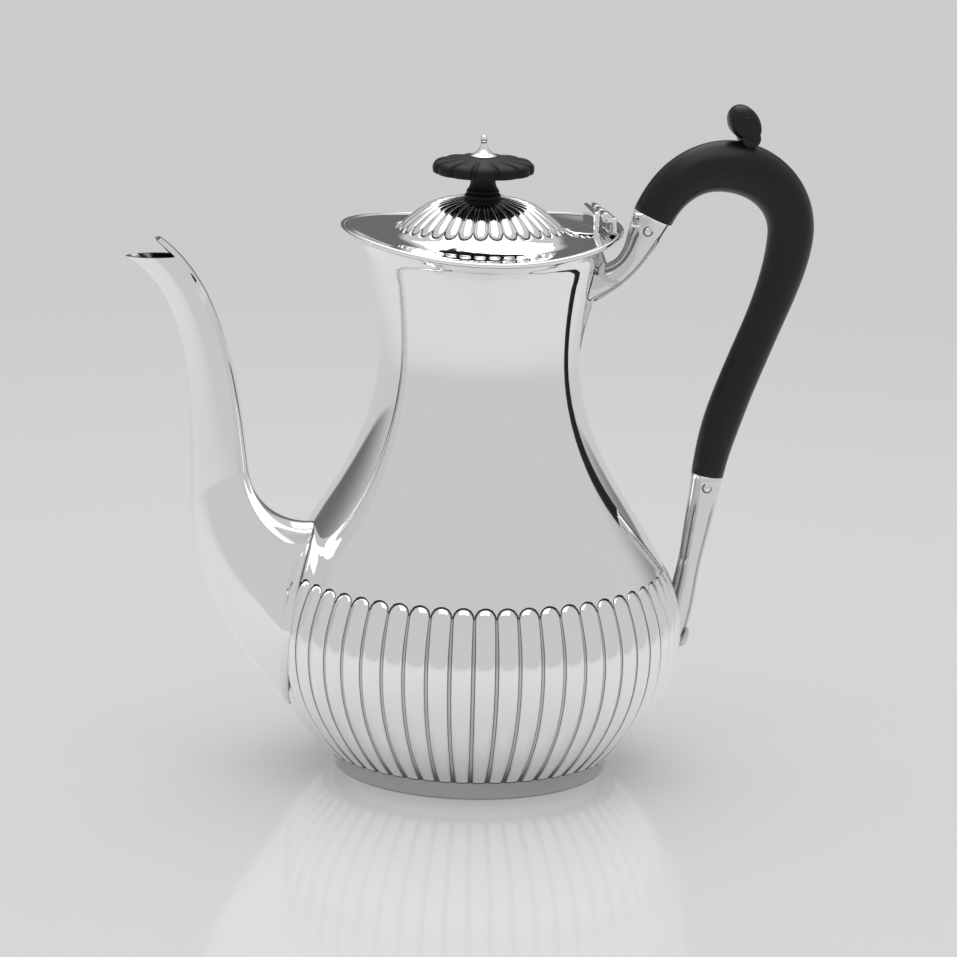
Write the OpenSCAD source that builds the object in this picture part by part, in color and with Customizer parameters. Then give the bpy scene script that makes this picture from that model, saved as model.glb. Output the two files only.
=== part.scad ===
// Fluted coffee pot with a hinged lid. Millimetres, +Z up, the spout points to -X
// and the handle to +X. The origin is the middle of the foot ring's underside.

/* [Body] */
// Height of the plain foot ring.
foot_height = 6.8; // [4:0.1:12]
// Outer radius of the foot ring where it stands.
foot_radius = 47.8; // [40:0.1:56]
// Width of the foot ring's standing face.
foot_face = 1.6; // [1:0.1:4]
// Radius of the body where it meets the foot ring.
base_radius = 51; // [44:0.1:60]
// Radius of the belly at its widest, without the flutes.
belly_radius = 72.5; // [60:0.1:85]
// Height of the widest point.
belly_height = 50; // [40:0.5:60]
// Radius half way up the shoulder.
shoulder_radius = 52.4; // [46:0.1:60]
// Height half way up the shoulder.
shoulder_height = 96; // [90:0.5:104]
// Radius of the neck at its narrowest.
neck_radius = 34.9; // [30:0.1:40]
// Height of the narrowest point.
neck_height = 147; // [135:0.5:155]
// Radius where the mouth starts to flare.
flare_radius = 39.8; // [36:0.1:44]
// Height where the mouth starts to flare.
flare_height = 178.5; // [170:0.5:182]
// Radius of the wavy rim.
rim_radius = 48.7; // [46:0.1:52]
// Mean height of the body's edge under the rim wire.
rim_height = 189; // [184:0.5:194]
// How far the rim rises towards spout and handle, and dips between them.
rim_wave = 2.2; // [0:0.1:4]
// Thickness of the sheet silver.
wall = 1; // [0.7:0.1:1.6]
// Width of the solid lip that carries the rim wire and the lid.
lip_width = 2.2; // [1.6:0.1:3]

/* [Flutes] */
// Number of flutes round the belly.
flute_count = 56; // [40:4:72]
// How far a flute's crest stands above the plain body.
flute_rise = 0.7; // [0.3:0.1:1.2]
// How far the groove between flutes lies below the plain body.
flute_cut = 0.6; // [0.2:0.1:1]
// Height of the rounded tops of the flutes.
flute_top = 73; // [60:0.5:84]
// Turn of the flutes about the pot's axis, in degrees.
flute_turn = -0.35; // [-3.2:0.05:3.2]

/* [Spout] */
// Height of the lowest point of the spout's base.
spout_foot = 23; // [18:0.5:30]
// Height of the top of the spout's base.
spout_root = 88.4; // [82:0.2:94]
// Half width of the spout's base on the belly.
spout_base = 24.8; // [18:0.2:28]
// Distance of the spout's front from the pot's axis at its straight part.
spout_front = 100.4; // [94:0.2:106]
// Half width of the spout's tube at its straight part.
spout_half = 8.8; // [7:0.1:11]
// Distance of the pouring lip from the pot's axis.
lip_reach = 123.6; // [116:0.2:130]
// Height of the pouring lip.
lip_height = 183.3; // [178:0.2:188]
// Half width of the mouth.
mouth_half = 5.2; // [4:0.1:7]
// Height of the curled upper jaw over the lip.
jaw_rise = 6.2; // [4:0.1:8]
// Diameter of one strainer hole.
strainer_hole = 4.2; // [3:0.1:5]
// Spacing of the strainer holes.
strainer_pitch = 7.4; // [6.5:0.1:9]

/* [Lid] */
// Number of flutes on the lid.
lid_flutes = 32; // [24:2:40]
// Radius of the fluted dome where its flutes end.
dome_radius = 28.5; // [26:0.1:33]
// Height of the dome's flat top.
dome_height = 202; // [198:0.2:206]
// Depth of the grooves between the dome's flutes.
dome_cut = 1; // [0.4:0.1:1.4]
// Gap between the lid and the pot.
lid_gap = 0.35; // [0.3:0.05:0.8]
// Depth of the bezel that locates the lid in the neck.
bezel_depth = 6; // [3:0.5:9]
// Outer radius of the bezel.
bezel_radius = 38; // [36:0.1:38.5]

/* [Finial] */
// Radius of the carved knob.
knob_radius = 17.6; // [14:0.1:20]
// Height of the knob's widest part.
knob_height = 213.3; // [211:0.1:216]
// Number of petals carved in the knob.
petals = 13; // [10:1:16]
// Turn of the petals about the pot's axis, in degrees.
petal_turn = 12.6; // [0:0.1:30]
// Radius of the knob's turned stem.
stem_radius = 4.4; // [3.6:0.1:5.4]
// Radius of the stem's base ring.
stem_foot = 6.2; // [5.4:0.1:7.2]
// Radius of the silver cap on the knob.
cap_radius = 4.7; // [4:0.1:6]
// Height of the cap's tip.
tip_height = 224.2; // [221:0.1:228]
// Radius of the stud that holds the finial.
stud_radius = 1.5; // [1.2:0.1:2]

/* [Hinge] */
// Distance of the hinge axis from the pot's axis.
hinge_x = 41.7; // [40:0.1:43]
// Height of the hinge axis.
hinge_z = 196.6; // [195:0.1:198]
// Outer radius of the hinge barrel.
barrel_radius = 1.75; // [1.6:0.05:2.2]
// Length of the hinge barrel.
barrel_length = 22; // [16:0.5:26]
// Radius of the hinge pin.
pin_radius = 0.95; // [0.8:0.05:1.1]
// Running fit of the moving knuckle on the pin, on the radius.
pin_fit = 0.05; // [0.02:0.01:0.1]
// Thickness of the strap on the lid's flange.
strap_thick = 0.8; // [0.6:0.1:1.2]

/* [Handle] */
// Half depth of the handle at its upper end.
handle_start = 7.2; // [6:0.1:8.5]
// Half depth of the handle over the arch.
handle_arch_half = 9.2; // [8:0.1:10.5]
// Half depth of the handle at the middle of its long leg.
handle_leg_half = 6.7; // [5.5:0.1:8]
// Half depth of the handle at its lower end.
handle_end = 5.7; // [4.8:0.1:6.5]
// Sideways thickness of the handle over its depth.
handle_flat = 0.86; // [0.7:0.02:1]
// Reach of the handle's outer shoulder from the pot's axis.
handle_reach = 117.6; // [112:0.2:122]
// Length of the tenon at each end.
tenon_length = 7; // [5:0.5:9]
// How much thinner a tenon is at its tip, on the radius.
tenon_taper = 1.6; // [0.5:0.1:2]
// Wall of the sockets round the tenons.
socket_wall = 1.1; // [0.9:0.1:1.4]
// Radius of the thumb rest's scroll.
thumb_radius = 5.3; // [4.5:0.1:6]
// Width of the thumb rest.
thumb_width = 11; // [8:0.5:13]
// Radius of the rivets through sockets and tenons.
rivet_radius = 1.2; // [0.8:0.1:1.6]
// Radius of the dowel in the handle's joint.
dowel_radius = 2.4; // [1.8:0.1:3]
// Gap that a glued or soldered joint leaves.
joint_gap = 0.04; // [0.03:0.01:0.08]

/* [Hidden] */
$fn = 64;

silver = [0.86, 0.86, 0.87];
ebony = [0.1, 0.09, 0.09];

sides = flute_count;         // facets round the plain part of the body
flute_sides = 4 * sides;     // facets round the fluted part
flute_pitch = 360 / flute_count;
wire_height = 1.7;
lid_radius = rim_radius - 1.5 - lid_gap;
stud_gap = 0.1;
eps = 0.01;

// ---- curves ----------------------------------------------------------------

function mix(a, b, t) = a + (b - a) * t;
function clamp01(t) = min(1, max(0, t));
function ease(t) = let (u = clamp01(t)) u * u * (3 - 2 * u);
function bez(p, t) = let (s = 1 - t)
    s * s * s * p[0] + 3 * s * s * t * p[1] + 3 * s * t * t * p[2] + t * t * t * p[3];
function bez_dir(p, t) = let (s = 1 - t,
    d = s * s * (p[1] - p[0]) + 2 * s * t * (p[2] - p[1]) + t * t * (p[3] - p[2]))
    d / norm(d);
// Smooth curve through knots of the form [position, value, slope].
function knot(k, x, i = 0) = i >= len(k) - 2 || x < k[i + 1][0] ? i : knot(k, x, i + 1);
function along(k, x) = let (i = knot(k, x), a = k[i], b = k[i + 1], h = b[0] - a[0],
    u = clamp01((x - a[0]) / h), u2 = u * u, u3 = u2 * u)
    a[1] * (1 - 3 * u2 + 2 * u3) + b[1] * (3 * u2 - 2 * u3)
    + h * (a[2] * (u - 2 * u2 + u3) + b[2] * (u3 - u2));

// ---- skins -----------------------------------------------------------------

function starts(rings) = [for (j = 0, s = 0; j < len(rings); s = s + len(rings[j]), j = j + 1) s];
// Triangles between two rings that start at points a and b with n and m points.
function strip(a, n, b, m) =
    n == m ? [for (i = [0:n - 1]) let (k = (i + 1) % n)
        each [[a + i, b + k, a + k], [a + i, b + i, b + k]]]
    : n > m ? let (q = n / m, h = floor(q / 2))
        [for (i = [0:m - 1]) each concat(
            [for (c = [0:h - 1]) [a + q * i + c, b + i, a + q * i + c + 1]],
            [[a + q * i + h, b + i, b + (i + 1) % m]],
            [for (c = [h:q - 1]) [a + q * i + c, b + (i + 1) % m, a + (q * i + c + 1) % n]])]
    : [for (f = strip(b, m, a, n)) [f[0], f[2], f[1]]];

// Closed shell over a list of rings: capped at both ends, or joined end to start.
module skin(rings, joined = false) {
    s = starts(rings);
    last = len(rings) - 1;
    points = [for (r = rings) each r];
    count = len(points);
    first_cap = rings[0];
    last_cap = rings[last];
    bands = [for (j = [0:last - 1]) each strip(s[j], len(rings[j]), s[j + 1], len(rings[j + 1]))];
    ends = joined ? strip(s[last], len(last_cap), 0, len(first_cap)) : concat(
        [for (i = [0:len(first_cap) - 1]) [count, i, (i + 1) % len(first_cap)]],
        [for (i = [0:len(last_cap) - 1])
            [count + 1, s[last] + (i + 1) % len(last_cap), s[last] + i]]);
    polyhedron(joined ? points : concat(points, [centre(first_cap), centre(last_cap)]),
        concat(bands, ends), convexity = 8);
}
function centre(ring) = [for (k = [0:2]) sum([for (p = ring) p[k]]) / len(ring)];
function sum(v, i = 0, t = 0) = i >= len(v) ? t : sum(v, i + 1, t + v[i]);

// ---- body ------------------------------------------------------------------

profile = [
    [foot_height, base_radius, 1.1],
    [belly_height, belly_radius, 0],
    [shoulder_height, shoulder_radius, -0.63],
    [neck_height, neck_radius, 0],
    [flare_height, flare_radius, 0.3],
    [rim_height, rim_radius, 2.4]
];
function plain_r(z) = along(profile, z);
function wave(z) = rim_wave * ease((z - neck_height) / (rim_height - neck_height));
// Half width of the spout's base at height z, and the angle it covers.
spout_middle = (spout_foot + spout_root) / 2;
spout_tall = (spout_root - spout_foot) / 2;
function base_half(z) = let (c = (z - spout_middle) / spout_tall)
    abs(c) >= 1 ? 0 : spout_base * sqrt(1 - c * c) * (1 - 0.3 * max(0, c));
function clear_of_spout(a, z) = let (
    off = abs(((a % 360) + 360) % 360 - 180),
    half = asin(base_half(z) / plain_r(z)))
    abs(z - spout_middle) > spout_tall ? 1 : ease((off - half - 1) / 2.5);
// Height of a flute's edge over the plain body; f runs from 0 at a crest to 1 in a groove.
function flute(f, z, a) = let (fade = mix(0.7, 1, clamp01((z - foot_height) / 20)))
    clear_of_spout(a, z) * fade * (flute_rise - (flute_rise + flute_cut) * f * f);
function flute_part(i) = let (m = i % 4) m == 2 ? 1 : m == 0 ? 0 : 0.5;
function flute_end(f) = let (h = plain_r(flute_top) * sin(flute_pitch / 2))
    flute_top - h * (1 - sqrt(1 - 0.98 * f * f));
function polar(r, a, z) = [r * cos(a), r * sin(a), z];
function waved(r, a, z) = polar(r, a, z + wave(z) * cos(2 * a));

function fluted_ring(t) = [for (i = [0:flute_sides - 1])
    let (a = flute_turn + i * 360 / flute_sides, f = flute_part(i),
        z = mix(foot_height, flute_end(f), t))
    polar(plain_r(z) + flute(f, z, a), a, z)];
function step_ring() = [for (i = [0:flute_sides - 1])
    let (a = flute_turn + i * 360 / flute_sides, z = flute_end(flute_part(i)) + 0.5)
    polar(plain_r(z), a, z)];
function plain_ring(z, off = 0) = [for (i = [0:sides - 1])
    let (a = flute_turn + i * 360 / sides) waved(plain_r(z) - off, a, z)];
function inner_r(z) = plain_r(z) - wall - flute_cut * (1 - ease((z - flute_top) / 8));
function inner_ring(z) = [for (i = [0:sides - 1])
    let (a = flute_turn + i * 360 / sides) waved(inner_r(z), a, z)];

// Heights of the rings, as shares of the stretches between the profile's knots.
function between(a, b, shares) = [for (t = shares) mix(a, b, t)];
outer_heights = concat(
    between(flute_top, shoulder_height, [0.18, 0.55, 1]),
    between(shoulder_height, neck_height, [0.2, 0.43, 0.7, 1]),
    between(neck_height, flare_height, [0.4, 0.75, 1]),
    between(flare_height, rim_height, [0.5, 0.85]));
inner_heights = concat(
    between(rim_height, flare_height, [0.3, 1]),
    between(flare_height, neck_height, [0.5, 1]),
    between(neck_height, shoulder_height, [0.4, 0.75]),
    between(flute_top, foot_height, [-0.2, 0.15, 0.45, 0.77]));
floor_z = foot_height + wall;
// Radius of the outside as its rings draw it above the flutes.
outer_line = [for (z = outer_heights) [z, plain_r(z)]];
function ringed_r(z) = z < outer_heights[0] ? plain_r(z) : max(plain_r(z), lookup(z, outer_line));

module body() {
    color(silver) difference() {
        skin(concat(
            [for (t = [0, 0.09, 0.21, 0.36, 0.52, 0.68, 0.84, 1]) fluted_ring(t)],
            [step_ring()],
            [for (z = outer_heights) plain_ring(z)],
            [plain_ring(rim_height, 0.2), plain_ring(rim_height, lip_width)],
            [for (z = inner_heights) inner_ring(z)],
            [[for (i = [0:sides - 1]) polar(inner_r(floor_z) - 0.5, flute_turn + i * 360 / sides,
                floor_z)]]));
        strainer();
    }
}

// Holes through the wall behind the spout: one, six and twelve.
module strainer() {
    translate([0, 0, spout_middle + 6]) rotate([0, -90, 0]) {
        at = [for (x = [-2:2], y = [-2:2]) if (abs(x + y) <= 2)
            [strainer_pitch * (x + y / 2), strainer_pitch * y * sqrt(3) / 2]];
        for (p = at) translate([p[0], p[1], belly_radius - 16])
            cylinder(d = strainer_hole, h = 20, $fn = 24);
    }
}

module foot_ring() {
    color(silver) rotate_extrude($fn = 96) polygon([
        [foot_radius - foot_face, 0], [foot_radius - 0.2, 0], [foot_radius, 0.2],
        [foot_radius + 0.5, foot_height], [foot_radius - 0.9, foot_height],
        [foot_radius - 0.9, 1.4]
    ]);
}

// Bright wire on the body's edge. It keeps the lid's edge inside it.
module rim_wire() {
    section = [[-1.5, 0], [0.1, 0], [0.45, 0.7], [-0.1, wire_height - 0.1],
        [-1.2, wire_height - 0.3]];
    color(silver) skin([for (p = section) [for (i = [0:sides - 1])
        let (a = flute_turn + i * 360 / sides)
        polar(rim_radius + p[0], a, rim_height + joint_gap + p[1] + wave(rim_height) * cos(2 * a))]],
        joined = true);
}

// ---- spout -----------------------------------------------------------------

front_low = [[-66.5, spout_foot], [-80, 41], [-spout_front, 62], [-spout_front, 100]];
front_high = [[-spout_front, 100], [-spout_front, 140], [-spout_front - 1.6, 172],
    [-lip_reach, lip_height - 0.4]];
back_low = [[-57, spout_root], [-69, 88], [-78.6, 95.5], [-80.3, 109]];
back_high = [[-80.3, 109], [-82.5, 136], [-86.5, 166], [-lip_reach + 10.8, lip_height + jaw_rise]];
half_low = [spout_base, spout_base, 12, spout_half];
half_high = [spout_half, spout_half - 1.2, mouth_half + 1, mouth_half];
spout_points = 20;

function body_x(y, z) = sqrt(max(1, pow(plain_r(z) + joint_gap, 2) - y * y));
// The jaw's thickness, and the spout's back as a table of heights and distances.
jaw_thick = 1.3;
back_line = [for (t = [0:0.05:1]) let (p = bez(back_high, t)) [p[1], p[0]]];
// One ring of the spout at t, from 0 on the belly over 1 to 2 at the mouth; inset by d.
function spout_ring(t, d) = let (
    low = t < 1, u = low ? t : t - 1,
    a = bez(low ? front_low : front_high, u), b = bez(low ? back_low : back_high, u),
    w = bez(low ? half_low : half_high, u) - d, mid = (a + b) / 2,
    arm = (b - a) / 2 * (1 - d / (norm(b - a) / 2)),
    swell = low ? 9 * (1 - u) * (1 - u) : 0)
    [for (i = [0:spout_points - 1]) let (k = 360 * i / spout_points,
        y = w * sin(k) * (low ? 1 - 0.3 * pow(1 - u, 3) * max(0, cos(k)) : 1),
        x = mid[0] + arm[0] * cos(k) - swell * pow(sin(k), 2),
        z = mid[1] + arm[1] * cos(k))
        [t == 0 ? -body_x(y, z) : min(x, -body_x(y, z) - (low ? u : 0)), y, z]];
spout_steps = [0, 0.08, 0.19, 0.31, 0.44, 0.58, 0.72, 0.86, 1, 1.2, 1.4, 1.6, 1.74, 1.85, 1.93, 2];

module spout() {
    n = len(spout_steps) - 1;
    color(silver) difference() {
        skin(concat([for (t = spout_steps) spout_ring(t, 0)],
            [for (i = [n:-1:0]) spout_ring(spout_steps[i], wall)]), joined = true);
        // The beak: everything over the lip's level edge, in front of the upper jaw.
        root = lookup(lip_height, back_line) - wall;
        tip = back_high[3] - [jaw_thick, 0.4];
        translate([0, 3 * mouth_half, 0]) rotate([90, 0, 0]) linear_extrude(6 * mouth_half)
            polygon([[root, lip_height], [-lip_reach - 5, lip_height],
                [-lip_reach - 5, tip[1] + 5], tip]);
    }
}

// ---- lid -------------------------------------------------------------------

// Top of the lid: mean height and wave against the radius.
lid_edge_z = rim_height + lid_gap + wall;
lid_top = [
    [0, dome_height, 0], [6.5, dome_height, 0], [15, dome_height - 1.3, -0.25],
    [23, dome_height - 4.7, -0.75], [dome_radius, dome_height - 9.3, -0.9],
    [dome_radius + 2.7, dome_height - 11.05, -0.33], [bezel_radius, lid_edge_z - 0.5, -0.07],
    [lid_radius, lid_edge_z, 0.13]
];
lid_swing = [
    [0, 0, 0], [10, 0, 0], [dome_radius - 1, -1.7, 0], [dome_radius + 2.7, -1.35, 0.13],
    [bezel_radius, 0.2, 0.2], [lid_radius, rim_wave, 0.21]
];
lid_sides = 2 * lid_flutes;
function lid_z(r, a) = along(lid_top, r) + along(lid_swing, r) * cos(2 * a);
// The lid stops in a straight edge in front of the hinge.
hinge_cut = hinge_x - 0.7;
function lobe_r(t, f) = let (h = dome_radius * sin(180 / lid_flutes))
    mix(7, dome_radius - h * (1 - sqrt(1 - 0.98 * f * f)), t);
function dome_ring(t) = [for (i = [0:4 * lid_flutes - 1])
    let (a = i * 90 / lid_flutes, f = flute_part(i), r = lobe_r(t, f),
        rise = mix(0.25, 1, t) * dome_cut * (0.6 - f * f))
    polar(r, a, lid_z(r, a) + rise * (t == 0 ? 0 : 1))];
function dome_foot() = [for (i = [0:4 * lid_flutes - 1])
    let (a = i * 90 / lid_flutes, r = lobe_r(1, flute_part(i)) + 0.5)
    polar(r, a, lid_z(r, a))];
function lid_ring(r, down = 0) = [for (i = [0:lid_sides - 1])
    let (a = i * 360 / lid_sides) polar(r, a, lid_z(r, a) - down)];

// Built from the stud's hole outwards along the underside and back over the top.
module lid() {
    hole = stud_radius + stud_gap;
    flange = [dome_radius + 2, bezel_radius - 2, bezel_radius + 4, lid_radius];
    under = concat([hole, stem_foot], between(0, dome_radius, [0.55, 0.85]), flange);
    over = between(lid_radius, dome_radius + 2, [0, 0.3, 0.62, 0.82, 1]);
    color(silver) difference() {
        skin(concat(
            [for (r = under) lid_ring(r, wall + (r < dome_radius ? 0.6 : 0))],
            [for (r = over) lid_ring(r)],
            [dome_foot()],
            [for (t = [1, 0.8, 0.45, 0]) dome_ring(t)],
            [lid_ring(hole)]), joined = true);
        box(hinge_cut, 2 * hinge_cut, -lid_radius, lid_radius, rim_height - 10, dome_height + 10);
    }
}

// The bezel's level top touches the lid where its underside comes lowest.
bezel_top = along(lid_top, bezel_radius) - abs(along(lid_swing, bezel_radius)) - wall - 6 * joint_gap;
module lid_bezel() {
    color(silver) translate([0, 0, bezel_top - bezel_depth]) difference() {
        cylinder(r = bezel_radius, h = bezel_depth, $fn = 96);
        translate([0, 0, -1]) cylinder(r = bezel_radius - wall, h = bezel_depth + 2, $fn = 96);
    }
}

// ---- finial ----------------------------------------------------------------

module bored(r, low, high) {
    difference() {
        children();
        translate([0, 0, low]) cylinder(r = r, h = high - low, $fn = 32);
    }
}

knob_low = knob_height - 2.4;
knob_high = knob_height + 3.4;
module finial_stem() {
    z = dome_height + joint_gap;
    color(ebony) bored(stud_radius + stud_gap, z - 1, knob_low + 1) rotate_extrude() polygon([
        [0, z], [stem_foot - 0.3, z], [stem_foot, z + 0.5], [stem_foot, z + 1.5],
        [stem_foot - 0.7, z + 1.9], [stem_foot - 0.5, z + 2.5], [stem_foot - 0.9, z + 3.4],
        [stem_radius + 0.2, z + 4.4], [stem_radius, z + 6], [stem_radius + 0.5, z + 7.6],
        [stem_radius + 1.8, knob_low - joint_gap], [0, knob_low - joint_gap]
    ]);
}

// A flat disc whose edge and top are carved into petals.
knob_section = [[1.6, -2.4], [16.4, -2.4], [17.5, -1.4], [17.6, 0.3], [16.6, 1.5], [14, 2.15],
    [9.5, 2.8], [5.5, 3.4], [1.6, 3.4]];
petal_sides = 4 * petals;
function petal(r, i) = let (f = flute_part(i)) f * f * (r > 16 ? 1.1 : r > 9 ? 0.6 : r > 6 ? 0.2 : 0);
function knob_ring(p) = [for (i = [0:petal_sides - 1]) let (
    a = petal_turn + i * 360 / petal_sides,
    r = p[0] < 2 ? stud_radius + stud_gap : p[0] * knob_radius / 17.6,
    dip = petal(p[0], i))
    polar(r - (p[0] > 12 ? dip : 0), a, knob_height + p[1] - (p[1] > 1 ? dip : 0))];
module finial_knob() {
    color(ebony) skin([for (p = knob_section) knob_ring(p)], joined = true);
}

module finial_cap() {
    z = knob_high + joint_gap;
    color(silver) rotate_extrude($fn = 48) polygon([
        [0, z], [cap_radius, z], [cap_radius, z + 0.3], [cap_radius - 1.4, z + 1],
        [cap_radius - 2.6, z + 2.1], [1.3, z + 3.6], [1, tip_height - 2.6], [1.3, tip_height - 1.4],
        [1, tip_height - 0.5], [0, tip_height]
    ]);
}

lid_inside = dome_height - wall - 0.6;
washer_height = 0.6;
nut_height = 2.4;
module finial_stud() {
    low = lid_inside - washer_height - nut_height - 1;
    color(silver) translate([0, 0, low])
        cylinder(r = stud_radius, h = knob_high - low, $fn = 32);
}
module finial_washer() {
    z = lid_inside - washer_height;
    color(silver) bored(stud_radius + joint_gap, z - 1, z + 2) translate([0, 0, z - joint_gap])
        cylinder(r = 4.5, h = washer_height, $fn = 32);
}
module finial_nut() {
    z = lid_inside - washer_height - nut_height;
    color(silver) bored(stud_radius + joint_gap, z - 1, z + 4) translate([0, 0, z - 2 * joint_gap])
        cylinder(r = 3.2, h = nut_height, $fn = 6);
}

// ---- hinge -----------------------------------------------------------------

knuckle = 7.2;
leaf_gap = 0.35;
module barrel(from, to, bore) {
    translate([hinge_x, to, hinge_z]) rotate([90, 0, 0]) difference() {
        cylinder(r = barrel_radius, h = to - from, $fn = 32);
        translate([0, 0, -1]) cylinder(r = bore, h = to - from + 2, $fn = 32);
    }
}
module box(x0, x1, y0, y1, z0, z1) {
    translate([x0, y0, z0]) cube([x1 - x0, y1 - y0, z1 - z0]);
}

leaf_half = barrel_length / 2 - 1;
leaf_face = hinge_x - barrel_radius - leaf_gap;
leaf_thick = 1.5;
strap_tip = dome_radius + 1;
// Height of the flange's top above the plan point (x, y).
function flange_z(x, y) = lid_z(norm([x, y]), atan2(y, x));
// The strap's cross-section at x: it lies on the flange and has an ogee outline.
function strap_ring(x) = let (
    u = (x - strap_tip) / (leaf_face - strap_tip),
    half = 4 * sqrt(min(1, max(0.02, u) * 4)) + (leaf_half - 4) * ease((u - 0.25) / 0.7),
    ys = [for (i = [-2:2]) half * i / 2],
    low = [for (y = ys) flange_z(x, y) + 6 * joint_gap])
    concat([for (i = [0:4]) [x, ys[i], low[i]]],
        [for (i = [4:-1:0]) [x, ys[i], low[i] + strap_thick]]);
module lid_hinge_leaf() {
    face = leaf_face;
    foot = flange_z(face, leaf_half) + strap_thick / 2;
    color(silver) {
        // Standing leaf with rounded upper corners.
        translate([face, 0, 0]) rotate([0, -90, 0]) linear_extrude(leaf_thick) {
            translate([foot, -leaf_half]) square([hinge_z + 0.2 - foot, 2 * leaf_half]);
            translate([hinge_z, 2 - leaf_half]) square([1.9, 2 * leaf_half - 4]);
            for (s = [-1, 1]) translate([hinge_z, s * (leaf_half - 2)]) circle(r = 1.9, $fn = 32);
        }
        skin([for (x = between(strap_tip, leaf_face, [0, 0.05, 0.14, 0.27, 0.42, 0.57, 0.72, 0.86, 1]))
            strap_ring(x)]);
        // Moving knuckle.
        difference() {
            union() {
                barrel(-knuckle / 2, knuckle / 2, pin_radius + pin_fit);
                box(face - 0.5, hinge_x - pin_radius - 0.4, -knuckle / 2, knuckle / 2,
                    hinge_z - barrel_radius, hinge_z);
            }
            barrel_bore(pin_radius + pin_fit);
        }
    }
}
module barrel_bore(r) {
    translate([hinge_x, barrel_length, hinge_z]) rotate([90, 0, 0])
        cylinder(r = r, h = 2 * barrel_length, $fn = 32);
}

deck_z = rim_height + rim_wave + joint_gap;
module body_hinge_leaf() {
    half = barrel_length / 2;
    face = hinge_x + barrel_radius + leaf_gap;
    color(silver) difference() {
        union() {
            for (s = [-1, 1]) {
                low = s > 0 ? knuckle / 2 + leaf_gap : -half;
                high = s > 0 ? half : -knuckle / 2 - leaf_gap;
                barrel(low, high, pin_radius);
                box(hinge_x, face + 0.5, low, high, hinge_z - barrel_radius, hinge_z - 0.1);
            }
            box(face, face + 1.4, -half, half, deck_z - 0.2, hinge_z - 0.1);
            // Deck that closes the mouth behind the lid's straight edge.
            translate([0, 0, deck_z]) linear_extrude(wall) intersection() {
                circle(r = rim_radius - 1.6, $fn = 96);
                translate([hinge_cut + lid_gap, -half - 3]) square([20, 2 * half + 6]);
            }
        }
        barrel_bore(pin_radius + joint_gap);
    }
}

module hinge_pin() {
    color(silver) translate([hinge_x, barrel_length / 2 + 0.3, hinge_z]) rotate([90, 0, 0])
        cylinder(r = pin_radius, h = barrel_length + 0.6, $fn = 32);
}

// ---- handle ----------------------------------------------------------------

arch = [[rim_radius + 11.6, rim_height + 6], [rim_radius + 25.3, rim_height + 36.5],
    [handle_reach - 6, rim_height + 23], [handle_reach - 8, rim_height - 1.5]];
leg = [arch[3], [handle_reach - 10, rim_height - 25.5], [belly_radius + 15, 134],
    [belly_radius + 10.3, 102.6]];
arch_half = [[0, handle_start, 0], [0.2, 7.9, 4], [0.5, handle_arch_half, 0],
    [1, mix(handle_arch_half, handle_leg_half, 0.45), -1.5]];
leg_half = [[0, mix(handle_arch_half, handle_leg_half, 0.45), -2], [0.45, handle_leg_half, 0],
    [0.75, handle_leg_half, 0], [1, handle_end, -3]];
handle_points = 20;
split = 0.72;
// Turn of the thumb rest from upright, and the outward side of a direction in the handle's plane.
thumb_lean = atan2(-bez_dir(arch, 0.5)[1], bez_dir(arch, 0.5)[0]);
function across_dir(d) = [-d[1], d[0]];
tenon_inset = socket_wall + joint_gap;

// Ring of half depth h and half width w about the point c of the handle's plane.
function across(c, dir, h, w, n) = [for (i = [0:n - 1]) let (k = 360 * i / n)
    [c[0] - dir[1] * h * cos(k), -w * sin(k), c[1] + dir[0] * h * cos(k)]];
function handle_ring(path, half, t, inset = 0, slide = 0) = let (
    c = bez(path, t), d = bez_dir(path, t), h = along(half, t) - inset)
    across(c + d * slide, d, h, h * handle_flat, handle_points);

joint_at = bez(arch, split);
joint_dir = bez_dir(arch, split);
module dowel(r, half) {
    translate([joint_at[0], 0, joint_at[1]]) rotate([0, atan2(joint_dir[0], joint_dir[1]), 0])
        translate([0, 0, -half]) cylinder(r = r, h = 2 * half, $fn = 32);
}
// Rivet through a socket and its tenon, a little way in from the end of a path.
function rivet_at(path, end) = end == 0
    ? path[0] - bez_dir(path, 0) * tenon_length * 0.72
    : path[3] + bez_dir(path, 1) * tenon_length * 0.55;
module rivet(at, r, half) {
    translate([at[0], half, at[1]]) rotate([90, 0, 0]) cylinder(r = r, h = 2 * half, $fn = 24);
}

module handle_arch() {
    color(ebony) {
        difference() {
            skin(concat(
                [handle_ring(arch, arch_half, 0, tenon_inset + tenon_taper, -tenon_length),
                    handle_ring(arch, arch_half, 0, tenon_inset)],
                [for (t = [0, 0.08, 0.17, 0.26, 0.35, 0.44, 0.53, 0.62, split])
                    handle_ring(arch, arch_half, t)]));
            dowel(dowel_radius + joint_gap, 9);
            rivet(rivet_at(arch, 0), rivet_radius + joint_gap, 12);
        }
        // Thumb rest: a scroll with a smaller roll behind it, on the middle of the arch.
        at = bez(arch, 0.5) + across_dir(bez_dir(arch, 0.5)) * handle_arch_half;
        translate([at[0], thumb_width / 2, at[1]]) rotate([90, 0, 0])
            rotate(-thumb_lean) linear_extrude(thumb_width)
                for (p = [[-3.6, thumb_radius + 2, thumb_radius], [-0.3, thumb_radius,
                    thumb_radius - 1.5], [-3.8, thumb_radius - 2.5, thumb_radius - 1]])
                    translate([p[0], p[1]]) circle(r = p[2], $fn = 48);
    }
}
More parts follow.
